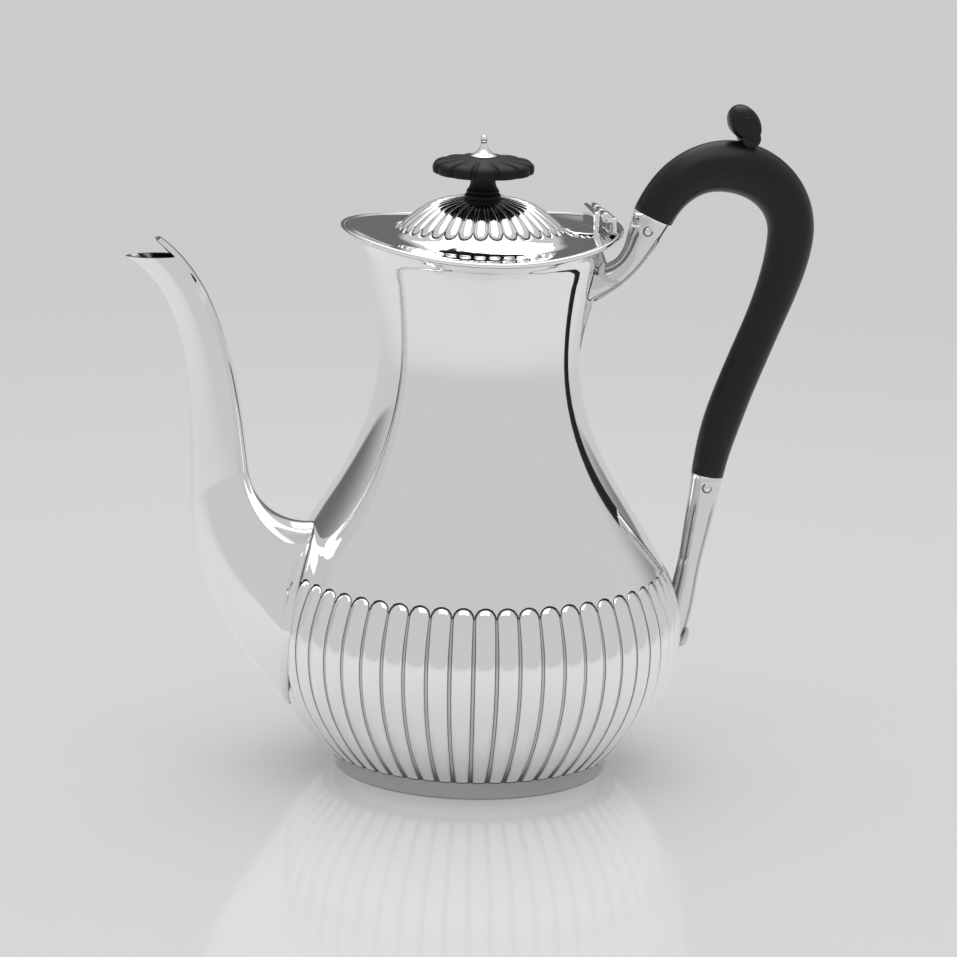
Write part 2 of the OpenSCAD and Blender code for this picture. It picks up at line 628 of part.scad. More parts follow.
module handle_grip() {
    color(ebony) difference() {
        skin(concat(
            [handle_ring(arch, arch_half, split, 0, joint_gap)],
            [for (t = [0.8, 0.87, 0.94]) handle_ring(arch, arch_half, t)],
            [for (t = [0, 0.1, 0.22, 0.34, 0.46, 0.58, 0.7, 0.82, 0.92, 1])
                handle_ring(leg, leg_half, t)],
            [handle_ring(leg, leg_half, 1, tenon_inset),
                handle_ring(leg, leg_half, 1, tenon_inset + tenon_taper, tenon_length)]));
        dowel(dowel_radius + joint_gap, 9);
        rivet(rivet_at(leg, 1), rivet_radius + joint_gap, 12);
    }
}
module handle_dowel() {
    color(ebony) dowel(dowel_radius, 8.5);
}

// ---- sockets ---------------------------------------------------------------

// Keeps a socket's points on the outside of the body.
function off_body(p) = let (r = ringed_r(p[2]) + (p[2] < flute_top + 1 ? flute_rise : 0) + joint_gap)
    [max(p[0], sqrt(max(1, r * r - p[1] * p[1]))), p[1], p[2]];
function held(ring) = [for (p = ring) off_body(p)];

upper_path = [arch[0], arch[0] - bez_dir(arch, 0) * 15, [neck_radius + 18.1, rim_height - 15.6],
    [neck_radius + 0.1, rim_height - 17.8]];
upper_half = [[0, handle_start, -6], [0.18, 6, -6], [0.4, 4.6, -3], [0.55, 4.3, 0],
    [0.8, 5.6, 10], [1, 8.6, 16]];
lower_path = [leg[3], leg[3] + bez_dir(leg, 1) * 22, [belly_radius + 3, belly_height + 12],
    [belly_radius - 1, belly_height - 12]];
lower_half = [[0, handle_end, -3], [0.25, 4.8, -2], [0.5, 4.1, 0], [0.75, 4.6, 0],
    [0.9, 3.9, -6], [1, 2, -25]];

function socket_ring(path, half, t, inset = 0, slide = 0) = handle_ring(path, half, t, inset, slide);

// The hollow end that takes a tenon: its floor, its mouth and its outer edge.
function cup(path, half) = [
    socket_ring(path, half, 0, socket_wall + tenon_taper, tenon_length + 0.2),
    socket_ring(path, half, 0, socket_wall, joint_gap),
    socket_ring(path, half, 0, 0, joint_gap)
];

module upper_socket() {
    color(silver) difference() {
        skin(concat(cup(upper_path, upper_half),
            [for (t = [0.12, 0.24, 0.36, 0.48, 0.6, 0.72, 0.84, 1])
                held(socket_ring(upper_path, upper_half, t))]));
        rivet(rivet_at(arch, 0), rivet_radius + joint_gap, 12);
    }
    // Tapering drop down the neck, and the spur over the root.
    color(silver) tongue([[23, 0, 3.4, 4.6], [29, 0, 2.6, 4.2], [34, 0, 1.9, 3.2], [38.5, 0, 1.3, 2.2],
        [42, 0, 0.8, 1]]);
    color(silver) tongue([[6, 0.9, 0.8, 0.9], [8, 1.4, 1.8, 1.8], [11, 1.6, 3.1, 2.8],
        [15, 1, 4, 3.6]]);
}
// Solid that hugs the neck: rows of depth below the rim, lift, thickness and half width.
module tongue(rows) {
    skin([for (q = rows) let (z = rim_height - q[0]) held([for (i = [0:11]) let (k = 30 * i)
        [ringed_r(z) + q[1] + q[2] * cos(k), -q[3] * sin(k), z]])]);
}
module lower_socket() {
    color(silver) difference() {
        skin(concat(cup(lower_path, lower_half),
            [for (t = [0.12, 0.25, 0.38, 0.5, 0.62, 0.74, 0.84, 0.92, 1])
                held(socket_ring(lower_path, lower_half, t))]));
        rivet(rivet_at(leg, 1), rivet_radius + joint_gap, 12);
    }
}
module upper_rivet() {
    color(silver) rivet(rivet_at(arch, 0), rivet_radius, 6.2);
}
module lower_rivet() {
    color(silver) rivet(rivet_at(leg, 1), rivet_radius, 5.2);
}

body();
foot_ring();
rim_wire();
spout();
lid();
lid_bezel();
lid_hinge_leaf();
body_hinge_leaf();
hinge_pin();
finial_stem();
finial_knob();
finial_cap();
finial_stud();
finial_washer();
finial_nut();
handle_arch();
handle_grip();
handle_dowel();
upper_socket();
lower_socket();
upper_rivet();
lower_rivet();
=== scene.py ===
import math

import bmesh
import bpy
from mathutils import Matrix, Vector


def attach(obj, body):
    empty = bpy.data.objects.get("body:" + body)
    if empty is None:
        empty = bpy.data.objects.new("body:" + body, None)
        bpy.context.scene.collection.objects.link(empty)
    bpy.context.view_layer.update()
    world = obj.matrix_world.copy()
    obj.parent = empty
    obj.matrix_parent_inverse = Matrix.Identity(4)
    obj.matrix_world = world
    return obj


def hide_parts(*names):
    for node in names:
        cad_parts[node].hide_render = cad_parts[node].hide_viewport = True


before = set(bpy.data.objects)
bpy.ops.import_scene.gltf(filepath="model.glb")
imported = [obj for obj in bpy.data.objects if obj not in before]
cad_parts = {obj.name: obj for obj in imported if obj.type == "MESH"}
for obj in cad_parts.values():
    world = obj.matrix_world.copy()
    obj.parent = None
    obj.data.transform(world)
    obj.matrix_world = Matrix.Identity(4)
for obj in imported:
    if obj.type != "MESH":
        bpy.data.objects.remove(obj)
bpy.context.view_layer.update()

# Lengths are in millimetres in the pot's own frame: +Z up, the spout towards -X, the
# handle towards +X. A finished piece is scaled to metres once, by MM.
MM = 0.001
TURN = 2 * math.pi

# ---- curves ------------------------------------------------------------------


def mix(a, b, t):
    return a + (b - a) * t


def clamp(t, low=0.0, high=1.0):
    return min(high, max(low, t))


def ease(t):
    t = clamp(t)
    return t * t * (3 - 2 * t)


def bump(t, middle, width):
    """A smooth hill of height 1 about middle."""
    return math.exp(-(((t - middle) / width) ** 2))


def bezier(points, t):
    s = 1 - t
    weights = (s ** 3, 3 * s * s * t, 3 * s * t * t, t ** 3)
    return Vector([sum(w * p[k] for w, p in zip(weights, points)) for k in (0, 1)])


def heading(points, t):
    """Unit direction of the curve at t."""
    s = 1 - t
    weights = (s * s, 2 * s * t, t * t)
    steps = [Vector(b) - Vector(a) for a, b in zip(points, points[1:])]
    return sum((w * d for w, d in zip(weights, steps)), Vector((0, 0))).normalized()


def along(knots, x):
    """Smooth curve through knots of the form (position, value, slope)."""
    pairs = list(zip(knots, knots[1:]))
    a, b = next((p for p in pairs if x < p[1][0]), pairs[-1])
    h = b[0] - a[0]
    u = clamp((x - a[0]) / h)
    rise = 3 * u * u - 2 * u ** 3
    bend = a[2] * (u - 2 * u * u + u ** 3) + b[2] * (u ** 3 - u * u)
    return mix(a[1], b[1], rise) + h * bend


def flowing(points, cuts=5):
    """Points on a smooth line through the given ones."""
    ends = [points[0], *points, points[-1]]
    line = []
    for p0, p1, p2, p3 in zip(ends, ends[1:], ends[2:], ends[3:]):
        for i in range(cuts):
            t = i / cuts
            line.append(tuple(
                0.5 * (2 * b + (c - a) * t + (2 * a - 5 * b + 4 * c - d) * t * t
                       + (3 * b - a - 3 * c + d) * t ** 3)
                for a, b, c, d in zip(p0, p1, p2, p3)))
    return line + [tuple(points[-1])]


# ---- mesh tools --------------------------------------------------------------


def turned(stations, steps, start=0.0, closed=False):
    """Spins a line about the Z axis. At each angle a station gives its radius, height and
    angle, and it may add how far the silver there is darkened, from 0 to 1: partly tarnish
    and partly painted shade and painted reflection."""
    bm = bmesh.new()
    number = bm.verts.layers.int.new("station")
    hollow = bm.verts.layers.float.new("hollow")
    line = []
    for i, station in enumerate(stations):
        vert = bm.verts.new((1 + i, 0, 0))
        vert[number] = i
        line.append(vert)
    for a, b in zip(line, line[1:] + line[:1] if closed else line[1:]):
        bm.edges.new((a, b))
    bmesh.ops.spin(bm, geom=bm.verts[:] + bm.edges[:], axis=(0, 0, 1), cent=(0, 0, 0),
                   steps=steps, angle=TURN, use_merge=True)
    for vert in bm.verts:
        angle = math.atan2(vert.co.y, vert.co.x) + start
        r, z, a, *depth = stations[vert[number]](angle)
        vert.co = (r * math.cos(a), r * math.sin(a), z)
        vert[hollow] = depth[0] if depth else 0.0
    return bm


def plain(r, z):
    """A station that is the same all round."""
    return lambda a: (r, z, a)


def outline(points):
    return [plain(r, z) for r, z in points]


def swept(rings, sides, caps=True):
    """Extrudes a circle from ring to ring. A ring gives its point for a turn from 0 to 1, and
    it may add how far the silver there is darkened: partly tarnish, partly painted shade and
    painted reflection."""
    bm = bmesh.new()
    number = bm.verts.layers.int.new("side")
    hollow = bm.verts.layers.float.new("hollow")
    verts = bmesh.ops.create_circle(bm, segments=sides, radius=1)["verts"]
    for i, vert in enumerate(verts):
        vert[number] = i
    edges = bm.edges[:]
    first = edges
    for j, ring in enumerate(rings):
        if j:
            new = bmesh.ops.extrude_edge_only(bm, edges=edges)["geom"]
            verts = [g for g in new if isinstance(g, bmesh.types.BMVert)]
            edges = [g for g in new if isinstance(g, bmesh.types.BMEdge)]
        for vert in verts:
            x, y, z, *depth = ring(vert[number] / sides)
            vert.co = (x, y, z)
            vert[hollow] = depth[0] if depth else 0.0
    if caps:
        bmesh.ops.contextual_create(bm, geom=first)
        bmesh.ops.contextual_create(bm, geom=edges)
    return bm


def block(low, high, bevel=0.0, segments=3):
    """A box between two corners with rounded edges."""
    bm = bmesh.new()
    bmesh.ops.create_cube(bm, size=1)
    bmesh.ops.scale(bm, vec=[b - a for a, b in zip(low, high)], verts=bm.verts)
    bmesh.ops.translate(bm, vec=[(a + b) / 2 for a, b in zip(low, high)], verts=bm.verts)
    if bevel:
        bmesh.ops.bevel(bm, geom=bm.edges[:], offset=bevel, segments=segments, profile=0.5,
                        affect="EDGES", material=-1, clamp_overlap=True)
    return bm


def joined(*meshes):
    """Puts several bmeshes into the first."""
    whole = meshes[0]
    for other in meshes[1:]:
        held = bpy.data.meshes.new("held")
        other.to_mesh(held)
        other.free()
        whole.from_mesh(held)
        bpy.data.meshes.remove(held)
    return whole


def placed(bm, *matrices):
    for matrix in matrices:
        bmesh.ops.transform(bm, matrix=matrix, verts=bm.verts)
    return bm


def tidied(bm):
    bmesh.ops.remove_doubles(bm, verts=bm.verts, dist=0.001)
    bmesh.ops.dissolve_degenerate(bm, edges=bm.edges, dist=0.0005)
    bmesh.ops.recalc_face_normals(bm, faces=bm.faces)
    return bm


def finished(name, bm, body, nodes, finish, sharp=40):
    """Makes a bmesh a piece of the pot, in metres, in place of CAD nodes."""
    tidied(bm)
    bmesh.ops.scale(bm, vec=(MM, MM, MM), verts=bm.verts)
    mesh = bpy.data.meshes.new(name)
    bm.to_mesh(mesh)
    bm.free()
    mesh.shade_smooth()
    mesh.set_sharp_from_angle(angle=math.radians(sharp))
    mesh.materials.append(finish)
    piece = bpy.data.objects.new(name, mesh)
    bpy.context.scene.collection.objects.link(piece)
    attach(piece, body)
    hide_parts(*nodes)
    return piece


# ---- finishes ----------------------------------------------------------------


class Value:
    """A socket in a node tree, on which Python's operators add Math nodes."""

    def __init__(self, nodes, socket):
        self.nodes = nodes
        self.socket = socket

    def _math(self, operation, a, b=0.0):
        return self.nodes.add("ShaderNodeMath", {"operation": operation}, {0: a, 1: b})["Value"]

    def __add__(self, other):
        return self._math("ADD", self, other)

    __radd__ = __add__

    def __sub__(self, other):
        return self._math("SUBTRACT", self, other)

    def __rsub__(self, other):
        return self._math("SUBTRACT", other, self)

    def __mul__(self, other):
        return self._math("MULTIPLY", self, other)

    __rmul__ = __mul__

    def least(self, other):
        return self._math("MINIMUM", self, other)


class Nodes:
    """A node tree: add() makes a node, sets it up and wires it."""

    def __init__(self, tree):
        self.tree = tree
        tree.nodes.clear()

    def add(self, kind, settings=None, inputs=None):
        node = self.tree.nodes.new(kind)
        for key, value in (settings or {}).items():
            setattr(node, key, value)
        for key, value in (inputs or {}).items():
            if isinstance(value, Value):
                self.tree.links.new(value.socket, node.inputs[key])
            else:
                node.inputs[key].default_value = value
        return {o.name: Value(self, o) for o in node.outputs if o.enabled}

    def mixed(self, factor, a, b):
        """Blends two colours."""
        made = self.add("ShaderNodeMix", {"data_type": "RGBA"},
                        {"Factor": factor, 6: a, 7: b})
        return made["Result"]

    def stepped(self, value, low, high):
        """0 below low, 1 above high, smooth between."""
        return self.add("ShaderNodeMapRange", {"interpolation_type": "SMOOTHSTEP"},
                        {"Value": value, "From Min": low, "From Max": high})["Result"]


def grey(value):
    return (value, value, value, 1)


def new_finish(name):
    material = bpy.data.materials.new(name)
    material.use_nodes = True
    return material, Nodes(material.node_tree)


def place_on_piece(nodes, scale=(1, 1, 1)):
    """Object coordinates, in metres, stretched by scale."""
    spot = nodes.add("ShaderNodeTexCoord")["Object"]
    return nodes.add("ShaderNodeMapping", {}, {"Vector": spot, "Scale": scale})["Vector"]


def noise(nodes, at, scale, detail=3.0, roughness=0.5, distortion=0.0):
    return nodes.add("ShaderNodeTexNoise", {}, {
        "Vector": at, "Scale": scale, "Detail": detail, "Roughness": roughness,
        "Distortion": distortion})["Fac"]


def polished_silver(name, wear=1.0):
    """Bright silver: hand-polishing swirls, a faint planished wobble, and darkening that is partly
    tarnish and partly painted shade and painted reflection.
    """
    material, n = new_finish(name)
    at = place_on_piece(n)
    hollow = n.add("ShaderNodeAttribute", {"attribute_name": "hollow"})["Fac"]
    cloud = noise(n, at, 55.0, 4.0, 0.6)
    fine = noise(n, at, 900.0, 3.0, 0.7)
    swirl = noise(n, place_on_piece(n, (1, 1, 9)), 420.0, 4.0, 0.75, 0.6)
    wobble = noise(n, at, 26.0, 1.0, 0.4)
    tarnish_and_shade_share = (hollow * (0.85 + cloud * 0.25)).least(0.97)
    bright = n.mixed(cloud, (0.92, 0.92, 0.915, 1), (0.95, 0.95, 0.945, 1))
    # Painted shade and painted reflection, partly tarnish: the silver is blended towards near black
    # by the darkening each point carries.
    colour = n.mixed(tarnish_and_shade_share, bright, (0.035, 0.033, 0.031, 1))
    rough = 0.02 + fine * 0.012 * wear + swirl * 0.02 * wear + tarnish_and_shade_share * 0.25
    height = swirl * 0.04 * wear + wobble * 2.4
    normal = n.add("ShaderNodeBump", {}, {
        "Strength": 0.35, "Distance": 0.0001, "Height": height})["Normal"]
    shader = n.add("ShaderNodeBsdfPrincipled", {}, {
        "Base Color": colour, "Metallic": 1.0, "Roughness": rough, "Normal": normal})["BSDF"]
    n.add("ShaderNodeOutputMaterial", {}, {"Surface": shader})
    return material


def black_ebony(name, stretch=(1, 1, 0.12), matt=0.3, gloss=0.32):
    """Ebony: near black with a warm cast, fine pores along the grain and a rubbed satin sheen."""
    material, n = new_finish(name)
    at = place_on_piece(n)
    grain = noise(n, place_on_piece(n, stretch), 900.0, 6.0, 0.65, 0.4)
    streak = noise(n, place_on_piece(n, stretch), 170.0, 4.0, 0.6)
    rubbed = noise(n, at, 60.0, 3.0, 0.6)
    colour = n.mixed(streak, (0.003, 0.0026, 0.0023, 1), (0.0105, 0.0085, 0.0072, 1))
    pore = n.stepped(grain, 0.60, 0.72)
    rough = matt + rubbed * 0.12 + pore * 0.12
    normal = n.add("ShaderNodeBump", {}, {
        "Strength": 0.3, "Distance": 0.0001, "Height": 1 - pore * 0.6 + streak * 0.3})["Normal"]
    shader = n.add("ShaderNodeBsdfPrincipled", {}, {
        "Base Color": colour, "Roughness": rough, "Normal": normal,
        "Specular IOR Level": gloss, "Coat Weight": 0.03, "Coat Roughness": 0.25})["BSDF"]
    n.add("ShaderNodeOutputMaterial", {}, {"Surface": shader})
    return material


SILVER = polished_silver("polished_silver")
PLAIN_SILVER = polished_silver("working_silver", 1.6)
EBONY = black_ebony("handle_ebony")
KNOB_EBONY = black_ebony("knob_ebony", (0.12, 1, 1), 0.48, 0.25)


def hollowed(bm, depth):
    """Records how far the silver at each point is darkened, from 0 to 1, for the finish: partly
    tarnish, partly painted shade and painted reflection.
    """
    layers = bm.verts.layers.float
    layer = layers.get("hollow") or layers.new("hollow")
    for vert in bm.verts:
        vert[layer] = clamp(depth(vert.co))
    return bm


# ---- body --------------------------------------------------------------------

FOOT_HEIGHT = 6.8
RIM_HEIGHT = 189.0
RIM_RADIUS = 48.7
RIM_WAVE = 2.2
WALL = 1.0
LIP_WIDTH = 2.2
JOINT = 0.04
BODY = ((FOOT_HEIGHT, 51, 1.1), (50, 72.5, 0), (96, 52.4, -0.63), (147, 34.9, 0),
        (178.5, 39.8, 0.3), (RIM_HEIGHT, RIM_RADIUS, 2.4))
NECK = 147.0

FLUTES = 56
FLUTE_TOP = 73.0
FLUTE_RISE = 0.7
FLUTE_CUT = 0.6
FLUTE_TURN = math.radians(-0.35)
PITCH = TURN / FLUTES
# Half the groove's width between two flutes, and round their tops.
GROOVE = 0.55
GROOVE_TOP = 0.38
# Points across half a lobe as shares of its half width. Two more lie in the groove.
LOBE = (0, 0.3, 0.55, 0.75, 0.89, 0.965, 1.0)
HALF_COLUMNS = len(LOBE) + 1
COLUMNS = 2 * HALF_COLUMNS
LINE = 0.3


def body_r(z):
    return along(BODY, z)


def wave(z):
    return RIM_WAVE * ease((z - NECK) / (RIM_HEIGHT - NECK))


TOP_HALF = body_r(FLUTE_TOP) * math.sin(PITCH / 2)


def across_flute(angle, pitch, columns, start):
    """Which way and how many columns an angle lies from the nearest crest, and that crest."""
    crest = round((angle - start) / pitch)
    off = (angle - start - crest * pitch) / pitch * columns
    return crest * pitch + start, 1 if off >= 0 else -1, abs(off)


def share_of_half(column, edge, line):
    """Where a column lies between a crest at 0 and the groove's middle at 1, and how dark it is."""
    places = [u * edge for u in LOBE] + [min(edge + line, 0.5 + edge / 2), 1.0]
    # The groove's dark edge lines and darker floor are partly tarnish and partly painted shade.
    darks = [0.0] * (len(LOBE) - 1) + [1.0, 0.42, 0.38]
    i = min(int(column + 1e-6), len(places) - 2)
    t = clamp(column - i)
    return mix(places[i], places[i + 1], t), mix(darks[i], darks[i + 1], t)


def lobe_height(u, power=2.1):
    """Height of a lobe's rounded section, from 1 at its crest to 0 at its edge."""
    return (1 - min(1.0, u) ** power) ** 0.52


def flute_end(f):
    return FLUTE_TOP - TOP_HALF * (1 - math.sqrt(max(0.0, 1 - f * f)))


def under_spout(a, z):
    """0 well inside the spout's base, where the belly has no flutes, and 1 clear of it."""
    c = (z - SPOUT_MIDDLE) / SPOUT_TALL
    if abs(c) >= 1:
        return 1.0
    half = math.asin(SPOUT_BASE * math.sqrt(1 - c * c) * (1 - 0.3 * max(0, c)) / body_r(z))
    off = abs(math.remainder(a - math.pi, TURN))
    return ease((off - half + math.radians(2.5)) / math.radians(2))


def fluted(below):
    """Station on the flutes, this far below their rounded ends at the top."""
    t = 1 - below / (FLUTE_TOP - FOOT_HEIGHT)
    nominal = mix(FOOT_HEIGHT, FLUTE_TOP - 1, t)
    half = body_r(nominal) * math.sin(PITCH / 2)
    groove = mix(GROOVE_TOP, GROOVE, ease(below / 16))

    def station(angle):
        crest, side, column = across_flute(angle, PITCH, COLUMNS, FLUTE_TURN)
        edge = 1 - groove / half
        f, dark = share_of_half(column, edge, LINE / half)
        z = mix(FOOT_HEIGHT, flute_end(f), t)
        over = z - (FLUTE_TOP - TOP_HALF)
        reach = math.hypot(f * TOP_HALF, over) / TOP_HALF if over > 0 else f
        power = mix(2.1, 1.7, clamp(over / TOP_HALF))
        height = (FLUTE_RISE + FLUTE_CUT) * lobe_height(reach / edge, power) - FLUTE_CUT
        a = crest + side * f * PITCH / 2
        low = clamp((z - FOOT_HEIGHT) / 20)
        open_side = under_spout(a, z)
        # Painted shade, partly tarnish: a dark outline round each flute's rounded top.
        if over > 0:
            dark = max(dark, ease((reach / edge - 0.97) / 0.03))
        # Painted shade and painted reflection: towards the foot the lobes darken at their edges,
        # and a dark line runs along the foot.
        dark = max(dark, 0.9 * (1 - ease((z - FOOT_HEIGHT) / 14)) * ease((f / edge - 0.7) / 0.3),
                   0.9 * (1 - ease((z - FOOT_HEIGHT) / 0.8)))
        return body_r(z) + mix(0.7, 1, low) * open_side * height, z, a, dark * open_side
    return station


def top_share(angle):
    """Crest, side and share of a column at the flutes' tops."""
    crest, side, column = across_flute(angle, PITCH, COLUMNS, FLUTE_TURN)
    return crest, side, share_of_half(column, 1 - GROOVE_TOP / TOP_HALF, LINE / TOP_HALF)[0]


def over_flutes(rise):
    """Station just above the flutes' rounded ends, where the plain shoulder begins."""
    def station(angle):
        crest, side, f = top_share(angle)
        low = flute_end(f) + mix(0.25, 0.9, f ** 4)
        z = mix(low, FLUTE_TOP + 2, rise)
        return body_r(z), z, crest + side * f * PITCH / 2
    return station


def waved(z, inwards=0.0):
    def station(angle):
        crest, side, f = top_share(angle)
        a = crest + side * f * PITCH / 2
        return body_r(z) - inwards, z + wave(z) * math.cos(2 * a), a
    return station


def inside(z):
    thick = WALL + FLUTE_CUT * (1 - ease((z - FLUTE_TOP) / 8))
    return waved(z, thick)


def make_body():
    below = (0, 0.2, 0.38, 0.44, 0.56, 0.75, 1.0, 1.35, 1.8, 2.4, 3.1, 4.0, 5.2, 6.8, 9, 11.5, 14.5,
             18, 21.5, 25, 29, 33, 37, 41, 45, 48.5, 52, 55.5, 58.5, 61, 63.5, 65.3, 66.2)
    shoulder = (77, 80, 83.5, 87, 91, 95, 99, 103, 107.5, 112, 117, 122, 127.5, 133, 138, 142.5,
                147, 151.5, 156, 160.5, 165, 169, 172.5, 175.5, 178.5, 181, 183, 184.8, 186.3,
                187.5, 188.4)
    within = (188.2, 186, 183, 179, 172, 160, 147, 130, 110, 92, 78, 68, 52, 36, 22, 13, 9.5)
    bm = turned(
        outline([(0.01, FOOT_HEIGHT), (24, FOOT_HEIGHT), (46, FOOT_HEIGHT)])
        + [fluted(d) for d in reversed(below)]
        + [over_flutes(s) for s in (0, 0.3, 0.65, 1)]
        + [waved(z) for z in shoulder]
        + [waved(RIM_HEIGHT, 0.25), waved(RIM_HEIGHT, LIP_WIDTH - 0.2), waved(188.75, LIP_WIDTH)]
        + [inside(z) for z in within]
        + outline([(47.5, 8.3), (45, FOOT_HEIGHT + WALL), (22, FOOT_HEIGHT + WALL),
                   (0.01, FOOT_HEIGHT + WALL)]),
        FLUTES * COLUMNS, FLUTE_TURN)
    return finished("pot_body", bm, "pot", ["body"], SILVER, 70)


def make_foot():
    ring = ((46.9, 0.0), (47.5, 0.02), (47.75, 0.12), (47.85, 0.35), (47.9, 0.8), (48.25, 6.2),
            (48.3, 6.55), (48.25, 6.74), (48.05, 6.8), (46.9, 6.8), (46.7, 6.5), (46.4, 3),
            (46.3, 0.3))
    bm = turned(outline(ring), 256, closed=True)
    # Painted shade and painted reflection: the band is darkened all over, most along its top under
    # the flutes and its bottom at the table.
    hollowed(bm, lambda co: 0.36 + 0.6 * ease((co.z - 6.1) / 0.3) + 0.7 * ease((0.4 - co.z) / 0.3))
    return finished("foot_moulding", bm, "pot", ["foot_ring"], SILVER)


def make_rim():
    middle, half_width, half_height, sides = -0.55, 0.98, 0.84, 16

    def station(k):
        x, y = math.cos(TURN * k / sides), math.sin(TURN * k / sides)

        def place(a):
            z = RIM_HEIGHT + JOINT + half_height * (1 + y) + wave(RIM_HEIGHT) * math.cos(2 * a)
            return RIM_RADIUS + middle + half_width * x, z, a
        return place
    bm = turned([station(k) for k in range(sides)], 320, closed=True)
    return finished("rim_bead", bm, "pot", ["rim_wire"], SILVER)


# ---- spout -------------------------------------------------------------------

SPOUT_FOOT = 23.0
SPOUT_ROOT = 88.4
SPOUT_BASE = 24.8
SPOUT_MIDDLE = (SPOUT_FOOT + SPOUT_ROOT) / 2
SPOUT_TALL = (SPOUT_ROOT - SPOUT_FOOT) / 2
SPOUT_FRONT = 100.4
LIP_REACH = 123.6
LIP_HEIGHT = 183.3
MOUTH_HALF = 5.2
JAW_BACK = 12.2
JAW_RISE = 6.45
# How far the sheet stands off the body where the spout is soldered on.
SEAM = 0.85
FRONT_LOW = ((-66.5, SPOUT_FOOT), (-80, 41), (-SPOUT_FRONT, 62), (-SPOUT_FRONT, 100))
FRONT_HIGH = ((-SPOUT_FRONT, 100), (-SPOUT_FRONT, 140), (-SPOUT_FRONT - 1.6, 172),
              (-LIP_REACH - 0.8, LIP_HEIGHT + 0.45))
NOTCH = Vector((-106.3, LIP_HEIGHT))
JAW_OUT = Vector((-5.3, -6.9)).normalized()
BACK_LOW = ((-57, SPOUT_ROOT), (-69, 88), (-78.6, 95.5), (-80.3, 109))
BACK_HIGH = ((-80.3, 109), (-82.9, 130), (-86.7, 172),
             (-LIP_REACH + JAW_BACK, LIP_HEIGHT + JAW_RISE))
HALF_LOW = (SPOUT_BASE, SPOUT_BASE, 12, 8.8)
HALF_HIGH = (8.8, 7.6, MOUTH_HALF + 1, MOUTH_HALF)


def bezier_number(values, t):
    return bezier([(v, 0) for v in values], t)[0]


def body_x(y, z):
    return math.sqrt(max(1.0, (body_r(z) + JOINT) ** 2 - y * y))


def spout_ring(t, inset=0.0):
    low = t < 1
    u = t if low else t - 1
    front = bezier(FRONT_LOW if low else FRONT_HIGH, u)
    back = bezier(BACK_LOW if low else BACK_HIGH, u)
    half = bezier_number(HALF_LOW if low else HALF_HIGH, u) - inset
    middle = (front + back) / 2
    arm = (back - front) / 2
    arm = arm * (1 - inset / arm.length)
    swell = 9 * (1 - u) ** 2 if low else 0

    def place(turn):
        c, s = math.cos(TURN * turn), math.sin(TURN * turn)
        y = half * s * (1 - 0.3 * (1 - u) ** 3 * max(0, c) if low else 1)
        x = middle.x + arm.x * c - swell * s * s
        z = middle.y + arm.y * c
        if t == 0:
            return -body_x(y, z), y, z
        return min(x, -body_x(y, z) - (u if low else 0)), y, z
    return place


def over_lip(p):
    return p.z - LIP_HEIGHT


def before_jaw(p):
    """Distance in front of the upper jaw's cut."""
    return (Vector((p.x, p.z)) - NOTCH).dot(JAW_OUT)


def spout_end(turn, inset):
    """How far a line along the spout runs: to the lip, or above it to the upper jaw's cut."""
    def gone(t):
        p = Vector(spout_ring(t, inset)(turn))
        return over_lip(p) > 0 and before_jaw(p) > 0
    high = next((1.5 + i / 40 for i in range(21) if gone(1.5 + i / 40)), None)
    if high is None:
        return 2.0
    low = high - 1 / 40
    for _ in range(16):
        middle = (low + high) / 2
        low, high = (low, middle) if gone(middle) else (middle, high)
    return high


def make_spout():
    sides = 96
    lower = [ease(i / 52) * 0.35 + i / 52 * 0.65 for i in range(53)]
    upper = [i / 44 for i in range(1, 45)]

    def lifted(turn):
        """The soldered edge: a step round the spout's base."""
        x, y, z = spout_ring(0)(turn)
        out = Vector((x, y, 0)).normalized() * SEAM
        return x + out.x, y + out.y, z

    # Painted shade in the crease where the spout's soldered step meets the body.
    def seam(turn):
        return *spout_ring(0)(turn), 1.0

    def skin(inset):
        """Rings from the base to the mouth's edge."""
        ends = [spout_end(i / sides, inset) for i in range(sides)]

        # The inside face is darkened to 0.6: painted shade inside the spout.
        def at(t, u):
            return lambda turn: (*spout_ring(
                t + u * (ends[round(turn * sides)] - 1), inset)(turn), 0.6 if inset else 0.0)
        return [at(t, 0) for t in lower] + [at(1, u) for u in upper]
    outer, inner = skin(0.0), skin(WALL)
    bm = swept([seam, lifted] + outer[1:] + inner[::-1] + [seam], sides, caps=False)
    return finished("spout_shell", bm, "pot", ["spout"], SILVER, 60)


# ---- lid ---------------------------------------------------------------------

LID_FLUTES = 32
DOME_RADIUS = 28.5
DOME_TOP = 202.0
DOME_RISE = 0.6
DOME_CUT = 0.4
DOME_GROOVE = 0.3
DOME_LINE = 0.2
LID_SHEET = 1.0
LID_RADIUS = RIM_RADIUS - 1.85
LID_EDGE = 190.35
LID_TOP = ((0, DOME_TOP, 0), (6.5, DOME_TOP, 0), (15, 200.45, -0.25), (23, 196.4, -0.75),
           (28.5, 191.98, -0.95), (31.2, 190.35, -0.35), (35, 189.4, -0.185),
           (37.5, 189.28, 0.07), (42, 189.63, 0.118), (LID_RADIUS, LID_EDGE, 0.165))
LID_SWING = ((0, 0, 0), (10, 0, 0), (23, -0.45, -0.06), (28.5, -0.62, -0.05),
             (31.2, -0.6, 0.1), (35, 0.2, 0.265), (37.5, 0.73, 0.1), (42, 1.275, 0.152),
             (LID_RADIUS, RIM_WAVE, 0.195))
DOME_PITCH = TURN / LID_FLUTES
DOME_HALF = DOME_RADIUS * math.sin(DOME_PITCH / 2)
DOME_INNER = 7.0

